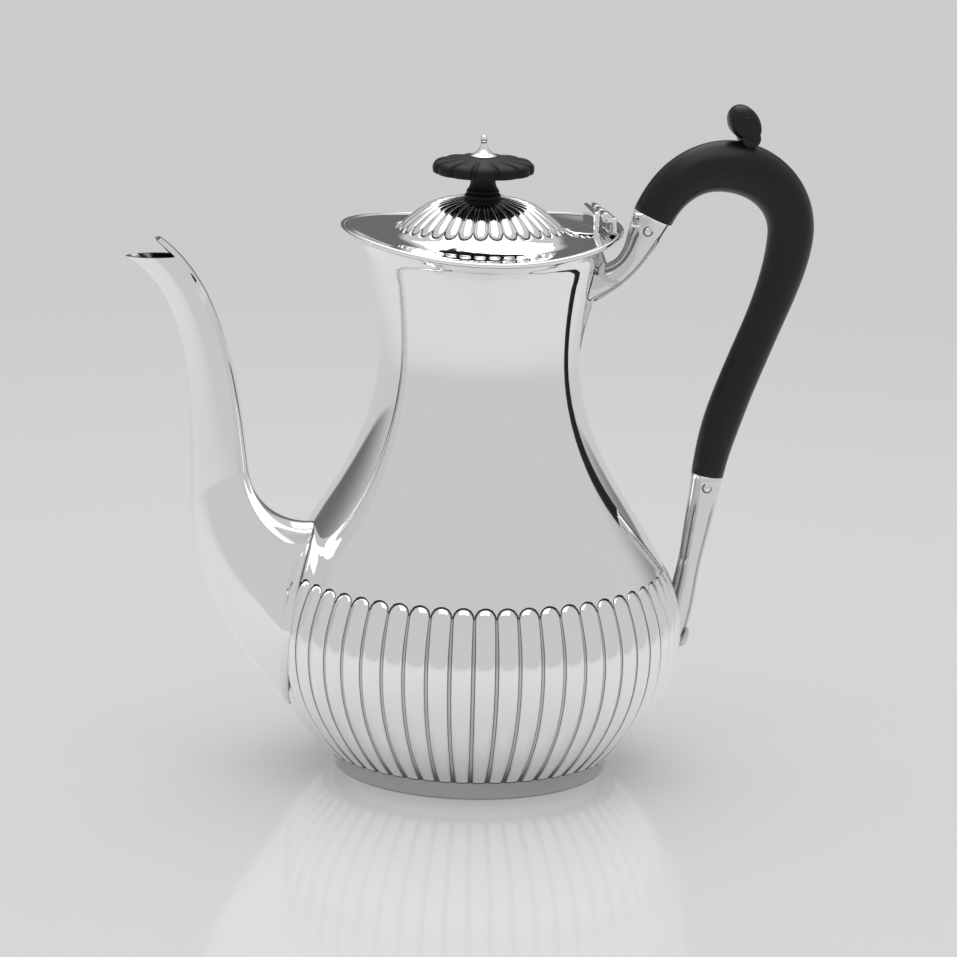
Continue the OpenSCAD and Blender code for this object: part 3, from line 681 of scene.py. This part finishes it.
HINGE_X = 41.7
HINGE_Z = 196.6
BARREL = 1.75
BARREL_HALF = 11.0
PIN = 0.95
KNUCKLE = 7.2
LEAF_GAP = 0.35
LID_CUT = HINGE_X - 0.7


def lid_z(r, a):
    return along(LID_TOP, r) + along(LID_SWING, r) * math.cos(2 * a)


def dome_end(f):
    return DOME_RADIUS - DOME_HALF * (1 - math.sqrt(max(0.0, 1 - f * f)))


def domed(inwards):
    """Station on the dome's flutes, this far in from their rounded ends."""
    t = inwards / (DOME_RADIUS - DOME_INNER)
    half = mix(DOME_RADIUS - 1, DOME_INNER, t) * math.sin(DOME_PITCH / 2)

    def station(angle):
        crest, side, column = across_flute(angle, DOME_PITCH, COLUMNS, 0)
        edge = 1 - DOME_GROOVE / half
        f, dark = share_of_half(column, edge, DOME_LINE / half)
        r = mix(dome_end(f), DOME_INNER, t)
        over = r - (DOME_RADIUS - DOME_HALF)
        reach = math.hypot(f * DOME_HALF, over) / DOME_HALF if over > 0 else f
        height = (DOME_RISE + DOME_CUT) * lobe_height(reach / edge) - DOME_CUT
        height *= mix(0.25, 1, ease((r - DOME_INNER) / 14))
        a = crest + side * f * DOME_PITCH / 2
        slope = (along(LID_TOP, r + 0.1) - along(LID_TOP, r - 0.1)) / 0.2
        tilt = math.hypot(1, slope)
        # Painted shade, partly tarnish, in the grooves and round the flutes' ends, made stronger;
        # near the stem a painted reflection of the dark knob; all fading towards the middle.
        if over > 0:
            dark = max(dark, ease((reach / edge - 0.95) / 0.05))
        dark = max(dark * 1.6, 0.3 * ease((9 - r) / 2))
        return (r - slope / tilt * height, lid_z(r, a) + height / tilt, a,
                clamp(dark) * ease((r - 5) / 6))
    return station


def round_dome(rise):
    """Station between the dome's flutes and the plain flange."""
    def station(angle):
        crest, side, column = across_flute(angle, DOME_PITCH, COLUMNS, 0)
        f = share_of_half(column, 1 - DOME_GROOVE / DOME_HALF, DOME_LINE / DOME_HALF)[0]
        r = mix(dome_end(f) + mix(0.2, 0.6, f ** 4), DOME_RADIUS + 1.6, rise)
        a = crest + side * f * DOME_PITCH / 2
        return r, lid_z(r, a), a
    return station


def on_lid(r, down=0.0):
    return lambda a: (r, lid_z(r, a) - down, a)


def cut_away(bm, at, normal, edge=0.0):
    """Cuts off what lies beyond a plane, closes the cut and eases its edge."""
    bmesh.ops.bisect_plane(bm, geom=bm.verts[:] + bm.edges[:] + bm.faces[:], dist=0.0001,
                           plane_co=at, plane_no=normal, clear_outer=True)
    rim = [e for e in bm.edges if e.is_boundary]
    bmesh.ops.triangle_fill(bm, edges=rim, use_beauty=True)
    if edge:
        bmesh.ops.bevel(bm, geom=rim, offset=edge, segments=1, profile=0.5, affect="EDGES",
                        material=-1, clamp_overlap=True)
    return bm


def make_lid():
    inwards = (0, 0.18, 0.3, 0.38, 0.55, 0.8, 1.1, 1.5, 2.0, 2.6, 3.4, 4.6, 6, 7.6, 9.4, 11.4, 13.4,
               15.4, 17.4, 19.2, 20.8, 21.8, 22.6)
    flange = (30.9, 31.8, 32.8, 34, 35.3, 36.7, 38, 39.5, 41, 42.5, 44, 45.4, 46.4)
    bm = turned(
        outline([(1.6, DOME_TOP), (4, DOME_TOP), (6.5, DOME_TOP)])
        + [domed(d) for d in reversed(inwards)]
        + [round_dome(s) for s in (0, 0.35, 0.7, 1)]
        + [on_lid(r) for r in flange]
        + [on_lid(46.7, 0.06), on_lid(LID_RADIUS, 0.3), on_lid(LID_RADIUS, 0.7),
           on_lid(46.7, 0.94), on_lid(46.4, LID_SHEET)]
        + [on_lid(r, LID_SHEET) for r in (44.5, 42, 39.5, 37, 34.5, 32)]
        + [on_lid(r, LID_SHEET + DOME_RISE * ease((31.5 - r) / 2))
           for r in (30.5, 29, 27.5, 25.5, 23, 20, 17, 13.5, 10, 6.5)]
        + outline([(4, DOME_TOP - 1.6), (1.6, DOME_TOP - 1.6)]),
        LID_FLUTES * COLUMNS, closed=True)
    cut_away(bm, (LID_CUT, 0, 0), (1, 0, 0))
    return finished("lid_dome_and_flange", bm, "lid", ["lid"], SILVER, 60)


def make_bezel():
    low, middle, outer = 181.4, 186.5, 38.0
    ring = [on_lid(outer, LID_SHEET), plain(outer, middle), plain(outer, low + 0.4),
            plain(outer - 0.15, low + 0.1), plain(outer - 0.5, low),
            plain(outer - 0.85, low + 0.1), plain(outer - 1, low + 0.4),
            plain(outer - 1, middle), on_lid(outer - 1, LID_SHEET)]
    bm = turned(ring, 192, closed=True)
    return finished("lid_bezel_ring", bm, "lid", ["lid_bezel"], PLAIN_SILVER)


# ---- hinge -------------------------------------------------------------------

LEAF_HALF = BARREL_HALF - 1
LEAF_FACE = HINGE_X - BARREL - LEAF_GAP
STRAP_TIP = DOME_RADIUS + 1
DECK_Z = RIM_HEIGHT + RIM_WAVE + JOINT
ALONG_Y = Matrix.Rotation(math.radians(-90), 4, "X")
TO_HINGE = Matrix.Translation((HINGE_X, 0, HINGE_Z))


def tube(low, high, outer, bore, edge=0.18):
    """A short tube from low to high along Z with eased outer edges."""
    return turned(outline([(bore, low), (outer - edge, low), (outer - edge * 0.3, low + edge * 0.3),
                           (outer, low + edge), (outer, high - edge),
                           (outer - edge * 0.3, high - edge * 0.3), (outer - edge, high),
                           (bore, high)]), 48, closed=True)


def flange_z(x, y):
    return lid_z(math.hypot(x, y), math.atan2(y, x))


def sheet(along_steps, across_steps, place, thick):
    """A grid laid out by place(u, v), u from 0 to 1 and v from -1 to 1, made this thick."""
    bm = bmesh.new()
    bmesh.ops.create_grid(bm, x_segments=along_steps, y_segments=across_steps, size=1)
    for vert in bm.verts:
        vert.co = place((vert.co.x + 1) / 2, vert.co.y)
    bmesh.ops.recalc_face_normals(bm, faces=bm.faces)
    if sum(f.normal.z for f in bm.faces) < 0:
        bmesh.ops.reverse_faces(bm, faces=bm.faces)
    bmesh.ops.solidify(bm, geom=bm.faces[:], thickness=thick)
    return bm


def make_lid_leaf():
    def strap(u, v):
        x = mix(STRAP_TIP, LEAF_FACE - 0.2, u)
        half = 4 * math.sqrt(min(1, 4 * max(0.02, u))) + 6 * ease((u - 0.25) / 0.7)
        y = v * half
        return x, y, flange_z(x, y) + 0.12 + 0.85 * (1 - 0.35 * v ** 6)

    bm = sheet(40, 30, strap, 0.8)
    leaf = block((LEAF_FACE - 2.2, -LEAF_HALF, flange_z(LEAF_FACE, LEAF_HALF) - 0.2),
                 (LEAF_FACE, LEAF_HALF, HINGE_Z + 1.9), 1.0, 5)
    knuckle = placed(tube(-KNUCKLE / 2, KNUCKLE / 2, BARREL, PIN + 0.05), ALONG_Y, TO_HINGE)
    link = block((LEAF_FACE - 0.4, -KNUCKLE / 2 + 0.1, HINGE_Z - BARREL),
                 (HINGE_X - PIN - 0.3, KNUCKLE / 2 - 0.1, HINGE_Z), 0.15, 2)
    joined(bm, leaf, knuckle, link)
    return finished("lid_hinge_strap", bm, "lid", ["lid_hinge_leaf"], SILVER)


def make_body_leaf():
    face = HINGE_X + BARREL + LEAF_GAP
    disc = bmesh.new()
    bmesh.ops.create_circle(disc, cap_ends=True, segments=192, radius=RIM_RADIUS - 1.6)
    bmesh.ops.translate(disc, vec=(0, 0, DECK_Z + 1), verts=disc.verts)
    bmesh.ops.recalc_face_normals(disc, faces=disc.faces)
    if disc.faces[0].normal.z < 0:
        bmesh.ops.reverse_faces(disc, faces=disc.faces)
    bmesh.ops.bisect_plane(disc, geom=disc.verts[:] + disc.edges[:] + disc.faces[:], dist=0.0001,
                           plane_co=(LID_CUT + LEAF_GAP, 0, 0), plane_no=(-1, 0, 0),
                           clear_outer=True)
    for s in (-1, 1):
        bmesh.ops.bisect_plane(disc, geom=disc.verts[:] + disc.edges[:] + disc.faces[:],
                               dist=0.0001, plane_co=(0, s * 14, 0), plane_no=(0, s, 0),
                               clear_outer=True)
    bmesh.ops.solidify(disc, geom=disc.faces[:], thickness=1)
    bm = block((face, -BARREL_HALF, DECK_Z + 0.6), (face + 1.4, BARREL_HALF, HINGE_Z - 0.1), 0.3, 3)
    parts = [disc]
    inner_end = KNUCKLE / 2 + LEAF_GAP
    for low, high in ((-BARREL_HALF, -inner_end), (inner_end, BARREL_HALF)):
        parts.append(placed(tube(low, high, BARREL, PIN), ALONG_Y, TO_HINGE))
        parts.append(block((HINGE_X + PIN + 0.3, low + 0.1, HINGE_Z - BARREL),
                           (face + 0.4, high - 0.1, HINGE_Z - 0.1), 0.15, 2))
    joined(bm, *parts)
    return finished("body_hinge_plate", bm, "pot", ["body_hinge_leaf"], SILVER)


def make_pin():
    end = BARREL_HALF + 0.3
    bm = turned(outline([(0.01, -end), (0.55, -end + 0.03), (PIN - 0.1, -end + 0.15),
                         (PIN, -end + 0.4), (PIN, end - 0.4), (PIN - 0.1, end - 0.15),
                         (0.55, end - 0.03), (0.01, end)]), 32)
    placed(bm, ALONG_Y, TO_HINGE)
    return finished("hinge_pin_rod", bm, "pot", ["hinge_pin"], PLAIN_SILVER)


# ---- finial ------------------------------------------------------------------

KNOB_Z = 213.3
KNOB_RISE = 3.4
PETALS = 13
PETAL_TURN = math.radians(12.6)
TIP = 224.2


def make_stem():
    z = DOME_TOP + JOINT
    top = KNOB_Z - 2.4 - JOINT
    line = [(6.0, z), (6.25, z + 0.3), (6.3, z + 0.9), (6.25, z + 1.4), (5.8, z + 1.75),
            (5.45, z + 1.95), (5.7, z + 2.35), (5.65, z + 2.8), (5.2, z + 3.4), (4.75, z + 4.2),
            (4.4, z + 5.4), (4.4, z + 6.4), (4.75, z + 7.4), (5.5, z + 8.2), (6.2, top)]
    bm = turned(outline([(1.6, z)] + flowing(line, 4) + [(1.6, top)]), 96, closed=True)
    return finished("turned_stem", bm, "lid", ["finial_stem"], KNOB_EBONY)


def make_knob():
    section = ((1.6, -2.4, 0), (6, -2.4, 0), (12, -2.4, 0.1), (15.5, -2.38, 0.4),
               (16.6, -2.3, 0.7), (17.2, -2.1, 0.9), (17.5, -1.7, 1.0), (17.6, -1.0, 1.05),
               (17.6, -0.3, 1.05), (17.5, 0.4, 1.05), (17.15, 1.0, 1.0), (16.4, 1.55, 0.95),
               (15, 2.0, 0.85), (13, 2.25, 0.7), (11, 2.5, 0.55), (8.5, 2.9, 0.3),
               (6.5, 3.2, 0.12), (5, KNOB_RISE - 0.02, 0), (1.6, KNOB_RISE, 0))
    pitch = TURN / PETALS

    def station(r, z, dip):
        def place(a):
            f = abs(math.remainder(a - PETAL_TURN, pitch)) / (pitch / 2)
            fall = dip * (0.5 * f ** 2.5 + 0.5 * bump(f, 0.84, 0.09))
            return r - (fall if r > 12 else 0), KNOB_Z + z - (fall if z > 1 else 0), a
        return place
    line = flowing(section, 3)
    bm = turned([station(*p) for p in line], PETALS * 24, PETAL_TURN, closed=True)
    return finished("petalled_knob", bm, "lid", ["finial_knob"], KNOB_EBONY)


def make_cap():
    z = KNOB_Z + KNOB_RISE + JOINT
    line = [(4.45, z), (4.65, z + 0.1), (4.66, z + 0.28), (4.3, z + 0.55), (3.3, z + 1.05),
            (2.5, z + 1.7), (1.8, z + 2.4), (1.35, z + 3.4), (1.1, z + 4.3), (1.0, TIP - 2.7),
            (1.25, TIP - 2.3), (1.0, TIP - 1.9), (1.27, TIP - 1.5), (1.22, TIP - 1.0),
            (0.88, TIP - 0.45), (0.01, TIP)]
    bm = turned(outline([(0.01, z)] + flowing(line, 4)), 64)
    # Partly tarnish and partly painted shade: darker in the cap's two grooves and along its foot on
    # the knob.
    hollowed(bm, lambda co: 0.8 * bump(co.z, TIP - 1.9, 0.15) + 0.8 * bump(co.z, TIP - 2.75, 0.15)
             + 0.7 * ease((z + 0.1 - co.z) / 0.1))
    return finished("knob_cap", bm, "lid", ["finial_cap"], SILVER)


# ---- handle ------------------------------------------------------------------

BELLY = 72.5
REACH = 117.6
# The handle's thickness across as a share of its depth.
FLAT = 1.0
# The saw cut where the two woods meet: a point of it and which way it faces.
CUT_AT = Vector((98.9, 0, 204.5))
CUT_WAY = Vector((0.969, 0, -0.246))
# Middles of the thumb rest's two rolls, and of the rivets' heads.
EGG = Vector((91.3, 0, 228))
UNDER_EGG = Vector((93.4, 0, 222.8))
UPPER_RIVET = (57.3, 6.5, 190.9)
LOWER_RIVET = (81.6, 5.4, 98.7)
ARCH = ((60.3, 195), (74, 225.5), (REACH - 6, 212), (REACH - 8, 187.5))
LEG = (ARCH[3], (REACH - 10, 163.5), (BELLY + 15, 134), (BELLY + 10.3, 102.6))
ARCH_HALF = ((0, 7.2, 0), (0.2, 7.9, 4), (0.5, 9.2, 0), (1, 8.075, -1.5))
LEG_HALF = ((0, 8.075, -2), (0.45, 6.7, 0), (0.75, 6.7, 0), (1, 5.7, -3))
TENON = 7.0
SOCKET_WALL = 1.1


def sideways(at, way, half):
    """Oval across the handle's run at a point of its plane."""
    def place(turn):
        c, s = math.cos(TURN * turn), math.sin(TURN * turn)
        return Vector((at.x - way.y * half * c, -half * FLAT * s, at.y + way.x * half * c))
    return place


def handle_ring(path, halves, t, inset=0.0, slide=0.0):
    way = heading(path, t)
    return sideways(bezier(path, t) + way * slide, way, along(halves, t) - inset)


def steps(low, high, count):
    return [mix(low, high, i / count) for i in range(count + 1)]


def make_arch():
    inset = SOCKET_WALL + JOINT
    bm = swept([handle_ring(ARCH, ARCH_HALF, 0, inset + 1.6, -TENON),
                handle_ring(ARCH, ARCH_HALF, 0, inset),
                handle_ring(ARCH, ARCH_HALF, 0, 0.3),
                handle_ring(ARCH, ARCH_HALF, 0, 0, 0.3)]
               + [handle_ring(ARCH, ARCH_HALF, t) for t in steps(0.02, 0.85, 52)], 64)
    cut_away(bm, CUT_AT, CUT_WAY, 0.2)
    return finished("handle_arch_wood", joined(bm, *thumb_rest()), "pot", ["handle_arch"],
                    EBONY, 50)


def thumb_rest():
    """An egg-shaped roll across the arch, leaning forward, with a flat eye at each end low on
    its back, and a smaller roll under it."""
    lean = math.radians(121)

    def ring(shift, long, short, y):
        def place(turn):
            a, b = long * math.cos(TURN * turn), short * math.sin(TURN * turn)
            return (EGG.x + 1.5 * shift + a * math.cos(lean) - b * math.sin(lean), y,
                    EGG.z - 1.4 * shift + a * math.sin(lean) + b * math.cos(lean))
        return place
    side = [(0, 6.35, 5.15, 0), (0.08, 6.25, 5.1, 2.5), (0.35, 5.85, 4.75, 3.9),
            (0.7, 5.2, 4.15, 4.75), (0.95, 4.7, 3.6, 5.2), (1, 4.4, 3.3, 5.3), (1, 4.1, 3.05, 5.6),
            (1, 3.5, 2.6, 5.65)]
    rows = [(s, a, b, -y) for s, a, b, y in reversed(side[1:])] + side
    egg = swept([ring(*row) for row in flowing(rows, 3)], 64)
    line = flowing([(0.01, -5.4), (2, -5.3), (3, -4.9), (3.4, -4), (3.4, 4), (3, 4.9), (2, 5.3),
                    (0.01, 5.4)], 4)
    lower = placed(turned(outline(line), 48), ALONG_Y, Matrix.Translation(UNDER_EGG))
    return egg, lower


def make_grip():
    inset = SOCKET_WALL + JOINT
    bm = swept([handle_ring(ARCH, ARCH_HALF, t) for t in steps(0.45, 1, 36)[:-1]]
               + [handle_ring(LEG, LEG_HALF, t) for t in steps(0, 0.98, 56)]
               + [handle_ring(LEG, LEG_HALF, 1, 0, -0.3),
                  handle_ring(LEG, LEG_HALF, 1, 0.3),
                  handle_ring(LEG, LEG_HALF, 1, inset),
                  handle_ring(LEG, LEG_HALF, 1, inset + 1.6, TENON)], 64)
    cut_away(bm, CUT_AT + CUT_WAY * JOINT, -CUT_WAY, 0.2)
    return finished("handle_grip_wood", bm, "pot", ["handle_grip"], EBONY, 50)


# ---- sockets -----------------------------------------------------------------

UPPER_DIR = heading(ARCH, 0)
LOWER_DIR = heading(LEG, 1)
UPPER = (ARCH[0], tuple(Vector(ARCH[0]) - UPPER_DIR * 15), (53, 173.4), (35, 171.2))
UPPER_HALF = ((0, 7.2, -6), (0.18, 6, -6), (0.4, 4.6, -3), (0.55, 4.3, 0), (0.8, 5.6, 10),
              (1, 8.6, 16))
LOWER = (LEG[3], tuple(Vector(LEG[3]) + LOWER_DIR * 22), (75.5, 62), (71.5, 38))
LOWER_HALF = ((0, 5.7, -3), (0.25, 4.8, -2), (0.5, 4.1, 0), (0.75, 4.6, 0), (0.9, 3.9, -6),
              (1, 2, -25))


def off_body(p):
    r = body_r(p.z) + (FLUTE_RISE if p.z < FLUTE_TOP + 1 else 0) + JOINT
    return Vector((max(p.x, math.sqrt(max(1.0, r * r - p.y * p.y))), p.y, p.z))


def folded(path, halves, t):
    """Ring of a casting with a sunk line along each side of its ridge, darker in the line: partly
    tarnish, partly painted shade.
    """
    ring = handle_ring(path, halves, t)
    middle = bezier(path, t)
    centre = Vector((middle.x, 0, middle.y))
    share = ease((t - 0.12) / 0.1) * ease((0.97 - t) / 0.08)

    def place(turn):
        side = turn if turn <= 0.5 else 1 - turn
        line = bump(side, 0.37, 0.022) + 0.7 * bump(side, 0.14, 0.02)
        p = off_body(centre + (ring(turn) - centre) * (1 - 0.11 * share * line))
        # Slightly darker all over, more in the sunk lines, and most along one side (turn 0.39 to
        # 0.61), which is painted shade.
        return p.x, p.y, p.z, clamp(0.2 + share * (0.7 * line + 0.55 * ease((side - 0.39) / 0.05)))
    return place


def stalk(knots):
    """A rod that tapers through points of (x, y, z, radius), and its mirror image."""
    line = flowing(knots, 4)
    spots = [Vector(p[:3]) for p in line]

    def ring(i):
        run = (spots[min(i + 1, len(line) - 1)] - spots[max(i - 1, 0)]).normalized()
        first = run.cross(Vector((0, 1, 0))).normalized()
        second = run.cross(first)

        def place(turn):
            c, s = math.cos(TURN * turn), math.sin(TURN * turn)
            p = spots[i] + (first * c + second * s) * line[i][3]
            # Darkened 0.3 all along.
            return p.x, p.y, p.z, 0.3
        return place
    made = [swept([ring(i) for i in range(len(line))], 16) for _ in range(2)]
    placed(made[1], Matrix.Scale(-1, 4, (0, 1, 0)))
    return made


def rivet(x, half, z):
    """Low domed heads on both sides, each in a dark ring of painted shade at its edge, and faintly
    darker on the dome.
    """
    made = []
    for side in (-1, 1):
        line = ((1.75, -0.6, 0.9), (1.75, 0.05, 0.9), (1.45, 0.0, 1.0), (1.3, 0.28, 0.3),
                (0.9, 0.5, 0.1), (0.45, 0.58, 0.1), (0.01, 0.6, 0.1))
        head = turned([lambda a, p=p: (p[0], p[1], a, p[2]) for p in line], 32)
        placed(head, Matrix.Rotation(math.radians(-90 * side), 4, "X"),
               Matrix.Translation((x, side * half, z)))
        made.append(head)
    return made


def cup(path, halves):
    """Rings of the hollow end that takes the handle's tenon."""
    return [handle_ring(path, halves, 0, SOCKET_WALL + 1.6, TENON + 0.2),
            handle_ring(path, halves, 0, SOCKET_WALL, 0.2),
            handle_ring(path, halves, 0, SOCKET_WALL - 0.15, JOINT),
            handle_ring(path, halves, 0, 0.15, JOINT),
            handle_ring(path, halves, 0, 0, 0.2)]


def tongue(rows):
    """Solid that hugs the neck: rows of depth below the rim, lift, thickness and half width."""
    def ring(depth, lift, thick, half):
        z = RIM_HEIGHT - depth
        r = body_r(z) + lift

        def place(turn):
            c, s = math.cos(TURN * turn), math.sin(TURN * turn)
            p = off_body(Vector((r + thick * c, -half * s, z)))
            # Painted shade along its flanks where it meets the neck, over a slight darkening all
            # round.
            return p.x, p.y, p.z, 0.2 + 0.45 * bump(abs(s), 0.75, 0.3)
        return place
    return swept([ring(*row) for row in flowing(rows, 5)], 32)


def make_upper_socket():
    bm = swept(cup(UPPER, UPPER_HALF)
               + [folded(UPPER, UPPER_HALF, t) for t in steps(0.03, 1, 60)], 96)
    joined(bm, tongue([(23, 0, 3.4, 4.6), (29, 0, 2.6, 4.2), (34, 0, 1.9, 3.2),
                       (38.5, 0, 1.3, 2.2), (42, 0, 0.8, 1)]),
           tongue([(6, 0.9, 0.8, 0.9), (8, 1.4, 1.8, 1.8), (11, 1.6, 3.1, 2.8), (15, 1, 4, 3.6)]),
           *stalk([(42.6, -3.2, 179.5, 0.7), (41.9, -3.6, 177.4, 1.4), (41.7, -3.9, 175.2, 1.8),
                   (43.2, -4.1, 173.3, 1.9), (45.5, -3.9, 172.7, 1.7), (47.3, -3.7, 173.6, 1.1),
                   (48, -3.4, 174.8, 0.5)]),
           *stalk([(40.4, -4.6, 171.4, 0.5), (38.3, -5.0, 168.4, 0.95), (37.1, -4.6, 164.2, 1.0),
                   (36.5, -3.4, 159.6, 0.8), (36, -2, 155, 0.4)]),
           *rivet(*UPPER_RIVET))
    return finished("upper_socket_casting", bm, "pot", ["upper_socket"], SILVER, 50)


def make_lower_socket():
    bm = swept(cup(LOWER, LOWER_HALF)
               + [folded(LOWER, LOWER_HALF, t) for t in steps(0.03, 1, 72)], 96)
    joined(bm, *rivet(*LOWER_RIVET),
           *stalk([(76.9, -2.6, 47.4, 0.5), (76.2, -3.2, 44.8, 1.1), (75.1, -3.2, 42.6, 1.3),
                   (74.3, -2.6, 41.2, 0.8)]))
    return finished("lower_socket_casting", bm, "pot", ["lower_socket"], SILVER, 50)


# ---- studio ------------------------------------------------------------------


def make_camera():
    """Telephoto view from the spout's side, a little above the rim, leaning very slightly."""
    azimuth, elevation, lean = map(math.radians, (-10.5, 13.66, 1.35))
    distance, aim = 1.75, Vector((0, 0, 0.09465))
    back = Vector((math.sin(azimuth) * math.cos(elevation),
                   -math.cos(azimuth) * math.cos(elevation), math.sin(elevation)))
    right = Vector((math.cos(azimuth), math.sin(azimuth), 0))
    up = back.cross(right)
    across = right * math.cos(lean) + up * math.sin(lean)
    upward = up * math.cos(lean) - right * math.sin(lean)
    data = bpy.data.cameras.new("camera")
    data.sensor_width = 36
    data.lens = 188.09
    data.shift_x, data.shift_y = 0.00306, 0.02319
    data.clip_start, data.clip_end = 0.05, 60
    camera = bpy.data.objects.new("camera", data)
    turn = Matrix((across, upward, back)).transposed().to_4x4()
    camera.matrix_world = Matrix.Translation(aim + back * distance) @ turn
    bpy.context.scene.collection.objects.link(camera)
    bpy.context.scene.camera = camera


PALE = 0.66


def make_floor():
    bm = bmesh.new()
    bmesh.ops.create_circle(bm, cap_ends=True, segments=96, radius=14)
    mesh = bpy.data.meshes.new("floor")
    bm.to_mesh(mesh)
    bm.free()
    floor = bpy.data.objects.new("floor", mesh)
    bpy.context.scene.collection.objects.link(floor)
    material, n = new_finish("pale_floor")
    spot = n.add("ShaderNodeTexCoord")["Object"]
    apart = n.add("ShaderNodeVectorMath", {"operation": "LENGTH"}, {0: spot})["Value"]
    far = n.stepped(apart, 0.3, 1.0)
    # The floor glows by itself for every ray: near the pot with 0.36 of a 0.62 grey, which lifts
    # its shadow and lights the pot from below; beyond 1 m it becomes an even 0.6 grey glow.
    table = n.add("ShaderNodeBsdfPrincipled", {}, {
        "Base Color": grey(0.55), "Roughness": 0.1, "IOR": 1.33,
        "Emission Color": grey(0.62), "Emission Strength": 0.36})["BSDF"]
    distance = n.add("ShaderNodeEmission", {}, {"Color": grey(0.6), "Strength": 1.0})["Emission"]
    blend = n.add("ShaderNodeMixShader", {}, {0: far, 1: table, 2: distance})["Shader"]
    n.add("ShaderNodeOutputMaterial", {}, {"Surface": blend})
    mesh.materials.append(material)


def make_world():
    """An even pale room with a darker strip low down behind the table, which polished metal
    sees; the camera sees plain pale paper there."""
    world = bpy.data.worlds.new("studio")
    world.use_nodes = True
    bpy.context.scene.world = world
    n = Nodes(world.node_tree)
    toward = n.add("ShaderNodeTexCoord")["Generated"]
    split = n.add("ShaderNodeSeparateXYZ", {}, {0: toward})
    up, depth = split["Z"], split["Y"]
    strip = n.stepped(up, 0.0, 0.05) * (1 - n.stepped(up, 0.30, 0.46)) * n.stepped(depth, 0.3, 0.9)
    seen = n.add("ShaderNodeLightPath")["Is Camera Ray"]
    room = n.mixed(strip, grey(0.60), grey(0.15))
    colour = n.mixed(seen, room, grey(PALE))
    shader = n.add("ShaderNodeBackground", {}, {"Color": colour, "Strength": 1.0})["Background"]
    n.add("ShaderNodeOutputWorld", {}, {"Surface": shader})


def make_lamps():
    """One wide soft light overhead, reaching towards the back."""
    data = bpy.data.lights.new("overhead", "AREA")
    data.shape = "RECTANGLE"
    data.size, data.size_y = 1.5, 3.55
    data.energy = 20
    lamp = bpy.data.objects.new("overhead", data)
    lamp.location = (0.15, 0.81, 1.7)
    lamp.rotation_euler = (0, 0, math.radians(-10.5))
    bpy.context.scene.collection.objects.link(lamp)


def make_studio():
    make_camera()
    make_floor()
    make_world()
    make_lamps()
    bpy.context.scene.view_settings.view_transform = "Standard"


# ---- the pot -----------------------------------------------------------------

make_body()
make_foot()
make_rim()
make_spout()
make_lid()
make_bezel()
make_lid_leaf()
make_body_leaf()
make_pin()
make_stem()
make_knob()
make_cap()
make_arch()
make_grip()
make_upper_socket()
make_lower_socket()
for name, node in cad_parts.items():
    node.data.materials.clear()
    dark = name.startswith(("handle", "finial_stem", "finial_knob"))
    node.data.materials.append(EBONY if dark else PLAIN_SILVER)
make_studio()
